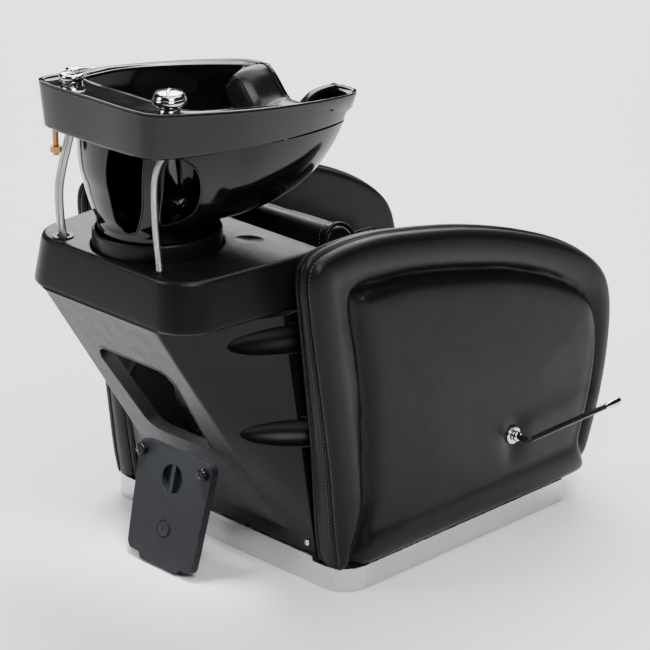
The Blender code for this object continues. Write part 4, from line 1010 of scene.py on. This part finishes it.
def hung(obj, slot, node):
    """Gives a hose that runs from the housing below to the bowl above its finish, hides its CAD node and bakes its
    place; it is attached to no body.
    """
    obj.data.materials.clear()
    obj.data.materials.append(MATERIALS[slot])
    obj.data.shade_smooth()
    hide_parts(node)
    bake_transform(obj)
    return obj


def ribbed(name, route, radius, pitch, depth, sides):
    """A hose with rings standing out of it at an even pitch."""
    path = curve(route, steps=16, every=pitch / 4)
    waves = radius - depth / 2 + depth / 2 * np.cos(np.arange(len(path)) * math.pi / 2)
    return sweep(name, path, waves, sides)


def make_hoses():
    for node, shift in (("supply_hose_hot", 0.0062), ("supply_hose_cold", -0.0062)):
        path = curve(supply_route(shift), steps=16, every=0.004)
        hose = sweep(node + "_braid", path, 0.0050, 16)
        hung(hose, "braid", node)
        for end, at in (("top", path[:5]), ("foot", path[-6:])):
            sleeve = sweep(f"{node}_ferrule_{end}", at, 0.0059, 18)
            dress(sleeve, "chrome", "bowl" if end == "top" else "root", sharp=40.0)
    hung(ribbed("handset_hose_coil", HANDSET_ROUTE, 0.0070, 0.0034, 0.0016, 16), "braid", "handset_hose")
    hung(ribbed("drain_hose_coil", DRAIN_ROUTE, 0.0180, 0.0072, 0.0042, 28), "drain_plastic", "drain_hose")


# ---------------------------------------------------------------- cover, lever, screws

LEAN = math.radians(14.0)
COVER_T = 0.018
COVER_FOOT = Vector((0, 0.508, 0.0005 + COVER_T * math.sin(LEAN)))


def cover_frame():
    up = Vector((0, -math.sin(LEAN), math.cos(LEAN)))
    out = Vector((0, math.cos(LEAN), math.sin(LEAN)))
    return Matrix.Translation(COVER_FOOT) @ Matrix((up.cross(out), up, out)).transposed().to_4x4()


def make_cover():
    frame_matrix = cover_frame()

    def slab(name, outline, low, high):
        return rings_mesh(name, [[frame_matrix @ Vector((x, v, d)) for x, v in outline] for d in (low, high)])

    half, tab, foot = 0.110, 0.055, 0.012
    outline = rounded([(-tab, 0, 0.004), (tab, 0, 0.004), (tab + 0.006, foot, 0.003), (half - 0.012, foot, 0.018),
                       (half, 0.244, 0.018), (-half, 0.244, 0.018), (-half + 0.012, foot, 0.018),
                       (-tab - 0.006, foot, 0.003)], 8)
    plate = slab("cover_plate", outline, -COVER_T, 0)
    pull_v, pull_r, bar = 0.186, 0.030, 0.0055
    for sign in (RIGHT, LEFT):
        start = math.acos(bar / pull_r)
        arc = [(sign * pull_r * math.cos(start - 2 * start * i / 28), pull_v + pull_r * math.sin(start - 2 * start * i / 28))
               for i in range(29)]
        cut(plate, slab("pull", arc, -0.013, 0.01))
    lock_v, lock_r = 0.080, 0.0165
    spot = frame_matrix @ Matrix.Translation((0, lock_v, 0))
    cut(plate, turned("lock_hole", [(lock_r + 0.0010, -0.0098), (lock_r + 0.0010, 0.01)], steps=48, frame_matrix=spot))
    for sign in (RIGHT, LEFT):
        knob = frame_matrix @ Matrix.Translation((-sign * 0.092, 0.223, 0))
        cut(plate, turned("knob_hole", [(0.0046, -0.03), (0.0046, 0.01)], steps=24, frame_matrix=knob))
    soften(plate, 0.0016, 3, 40.0)
    dress(plate, "panel_plastic", "cover", ("access_panel",), sharp=35.0)
    lock = [(0.0, -0.0094), (lock_r, -0.0094), (lock_r, 0.0006), (lock_r - 0.0008, 0.0016), (lock_r - 0.0030, 0.0020),
            (0.0030, 0.0020), (0.0026, 0.0008), (0.0, 0.0006)]
    dress(turned("cover_lock", lock, steps=56, frame_matrix=spot), "panel_plastic", "cover", ("panel_lock",), sharp=40.0)
    ring = [(lock_r + 0.0012, 0.0002), (lock_r + 0.0022, 0.0010), (lock_r + 0.0034, 0.0010), (lock_r + 0.0042, 0.0002),
            (lock_r + 0.0042, -0.0004), (lock_r + 0.0012, -0.0004)]
    dress(turned("cover_lock_ring", ring, steps=56, frame_matrix=spot, closed=True), "panel_plastic", "cover", sharp=40.0)
    for sign, side in ((RIGHT, "right"), (LEFT, "left")):
        place = frame_matrix @ Matrix.Translation((-sign * 0.092, 0.223, 0))
        angle = np.arange(84) * 2 * math.pi / 84
        rings = []
        for radius, height, lobe in ((0.0040, -0.0275, 0), (0.0040, 0.0003, 0), (0.0105, 0.0004, 0), (0.0112, 0.0020, 0.02),
                                     (0.0126, 0.0040, 0.10), (0.0134, 0.0062, 0.14), (0.0134, 0.0118, 0.14),
                                     (0.0126, 0.0142, 0.12), (0.0104, 0.0156, 0.08), (0.0060, 0.0160, 0.02),
                                     (0.0054, 0.0152, 0), (0.0004, 0.0150, 0)):
            r = radius * (1 - lobe * (0.5 + 0.5 * np.cos(6 * angle)) ** 2)
            rings.append([place @ Vector((a * math.cos(t), a * math.sin(t), height)) for a, t in zip(r, angle)])
        dress(rings_mesh("cover_knob_" + side, rings), "rubber", "knob_" + side, ("panel_knob_" + side,), sharp=50.0)


def make_lever():
    base = -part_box("lever_plate")[1].x
    y, z = -0.155, 0.208
    turn = Matrix.Rotation(math.radians(-90), 4, "Y")
    place = Matrix.Translation((-base, y, z)) @ turn
    plate = [(0.0, -0.0060), (0.0188, -0.0060), (0.0194, 0.0004), (0.0192, 0.0014), (0.0178, 0.0026),
             (0.0140, 0.0030), (0.0118, 0.0020), (0.0, 0.0016)]
    dress(turned("lever_escutcheon", plate, steps=48, frame_matrix=place), "chrome", replaces=("lever_plate",), sharp=50.0)
    hub = [(0.0, 0.0), (0.0104, 0.0), (0.0110, 0.0008), (0.0110, 0.0078), (0.0098, 0.0100), (0.0070, 0.0112), (0.0, 0.0114)]
    place = Matrix.Translation((-base - 0.0043, y, z)) @ turn
    dress(turned("lever_boss", hub, steps=36, frame_matrix=place), "chrome", "side_lever", ("lever_hub",), sharp=50.0)
    bend = np.array([-0.4100, y, z])
    tip = np.array([-0.4100, -0.3980, 0.2120])
    way = (tip - bend) / np.linalg.norm(tip - bend)
    route = [(-base - 0.0162, y, z), bend + (0.014, 0, 0), bend + (0.004, -0.004, 0), bend + way * 0.014,
             bend + way * 0.10, tip]
    dress(sweep("lever_bar", curve(route, every=0.003), 0.0060, 20), "black_steel", "side_lever", ("lever_rod",))
    spin = Vector((0, 0, 1)).rotation_difference(Vector(way)).to_matrix().to_4x4()
    grip = [(0.0, 0.0002), (0.0058, 0.0003), (0.0062, 0.0012), (0.0072, 0.0050), (0.0084, 0.0150), (0.0094, 0.0280),
            (0.0092, 0.0400), (0.0076, 0.0462), (0.0044, 0.0492), (0.0, 0.0500)]
    dress(turned("lever_grip", grip, steps=32, frame_matrix=Matrix.Translation(tip) @ spin), "chrome", "side_lever",
          ("lever_tip",), sharp=60.0)


def make_screws():
    for sign, side in ((RIGHT, "right"), (LEFT, "left")):
        place = Matrix.Translation((sign * 0.250, 0.3260, 0.083)) @ Matrix.Rotation(math.radians(-90), 4, "X")
        profile = [(0.0, -0.0098), (0.0029, -0.0098), (0.0029, 0.0001), (0.0062, 0.0004), (0.0066, 0.0010), (0.0060, 0.0022),
                   (0.0044, 0.0031), (0.0, 0.0034)]
        screw = turned("shell_screw_" + side, profile, steps=32, frame_matrix=place)
        for turn in (0.4, 0.4 + math.pi / 2):
            slot = rings_mesh("drive", [[(x, y, z) for x, y in ((-0.0032, -0.0005), (0.0032, -0.0005), (0.0032, 0.0005),
                                                                (-0.0032, 0.0005))] for z in (0.0022, 0.006)])
            slot.data.transform(place @ Matrix.Rotation(turn, 4, "Z"))
            cut(screw, slot)
        dress(screw, "chrome", replaces=("housing_screw_" + side,), sharp=35.0)


# ---------------------------------------------------------------- scene


def finish_nodes():
    """Gives every CAD node that still shows the detailed material of its slot."""
    for part in frame["record"]["subparts"]:
        node = NODES[part["node"]]
        material = MATERIALS[part["material_slot"]]
        if not node.material_slots:
            node.data.materials.append(material)
        for place in node.material_slots:
            place.material = material


def area_light(name, place, target, size, power):
    data = bpy.data.lights.new(name, "AREA")
    data.shape = "RECTANGLE"
    data.size, data.size_y = size
    data.energy = power
    obj = bpy.data.objects.new(name, data)
    bpy.context.scene.collection.objects.link(obj)
    obj.location = place
    obj.rotation_euler = (Vector(target) - Vector(place)).to_track_quat("-Z", "Y").to_euler()


def make_studio():
    camera = bpy.data.objects.new("camera", bpy.data.cameras.new("camera"))
    camera.data.lens = 153.04
    camera.data.sensor_width = 36.0
    camera.location = (-3.848, 3.802, 2.497)
    camera.rotation_euler = (math.radians(90 - 21.258), 0, math.radians(225.577))
    bpy.context.scene.collection.objects.link(camera)
    bpy.context.scene.camera = camera

    g = Graph("studio_floor", (0.95, 0.95, 0.95), 0.9)
    g.tone(g.texture("noise", 0.6), 0.99, 1.01)
    floor = make("studio_floor", [(-30, -30, -0.0005), (30, -30, -0.0005), (30, 30, -0.0005), (-30, 30, -0.0005)],
                 [(0, 1, 2, 3)])
    floor.data.materials.append(g.material)

    world = bpy.data.worlds.new("studio")
    bpy.context.scene.world = world
    world.use_nodes = True
    nodes, links = world.node_tree.nodes, world.node_tree.links
    split = nodes.new("ShaderNodeSeparateXYZ")
    fade = nodes.new("ShaderNodeMapRange")
    fade.inputs["From Min"].default_value, fade.inputs["From Max"].default_value = 0.05, 0.90
    fade.inputs["To Min"].default_value, fade.inputs["To Max"].default_value = 0.90, 0.25
    links.new(nodes.new("ShaderNodeTexCoord").outputs["Generated"], split.inputs["Vector"])
    links.new(split.outputs["Z"], fade.inputs["Value"])
    links.new(fade.outputs["Result"], nodes["Background"].inputs["Strength"])
    middle = (0, 0.1, 0.5)
    area_light("key", (-2.6, 1.6, 3.4), middle, (1.5, 2.6), 150)
    area_light("back", (1.8, 3.2, 2.8), middle, (1.4, 2.2), 90)
    area_light("top", (0.3, -0.6, 3.8), middle, (3.2, 3.2), 190)
    area_light("floor_wash", (4.5, -4.5, 5.0), (2.5, -2.5, 0.0), (6.0, 6.0), 1100)
    area_light("inside", (0.0, 0.50, 0.575), (0.0, 0.36, 0.30), (0.16, 0.08), 7)


make_arm("right", RIGHT)
make_arm("left", LEFT)
make_cushions()
make_housing()
make_scoop_liners()
make_collar()
make_bowl_skin()
make_bowl()
make_neck_rest()
make_tap()
make_handset()
make_hoses()
make_cover()
make_lever()
make_screws()
finish_nodes()
make_studio()
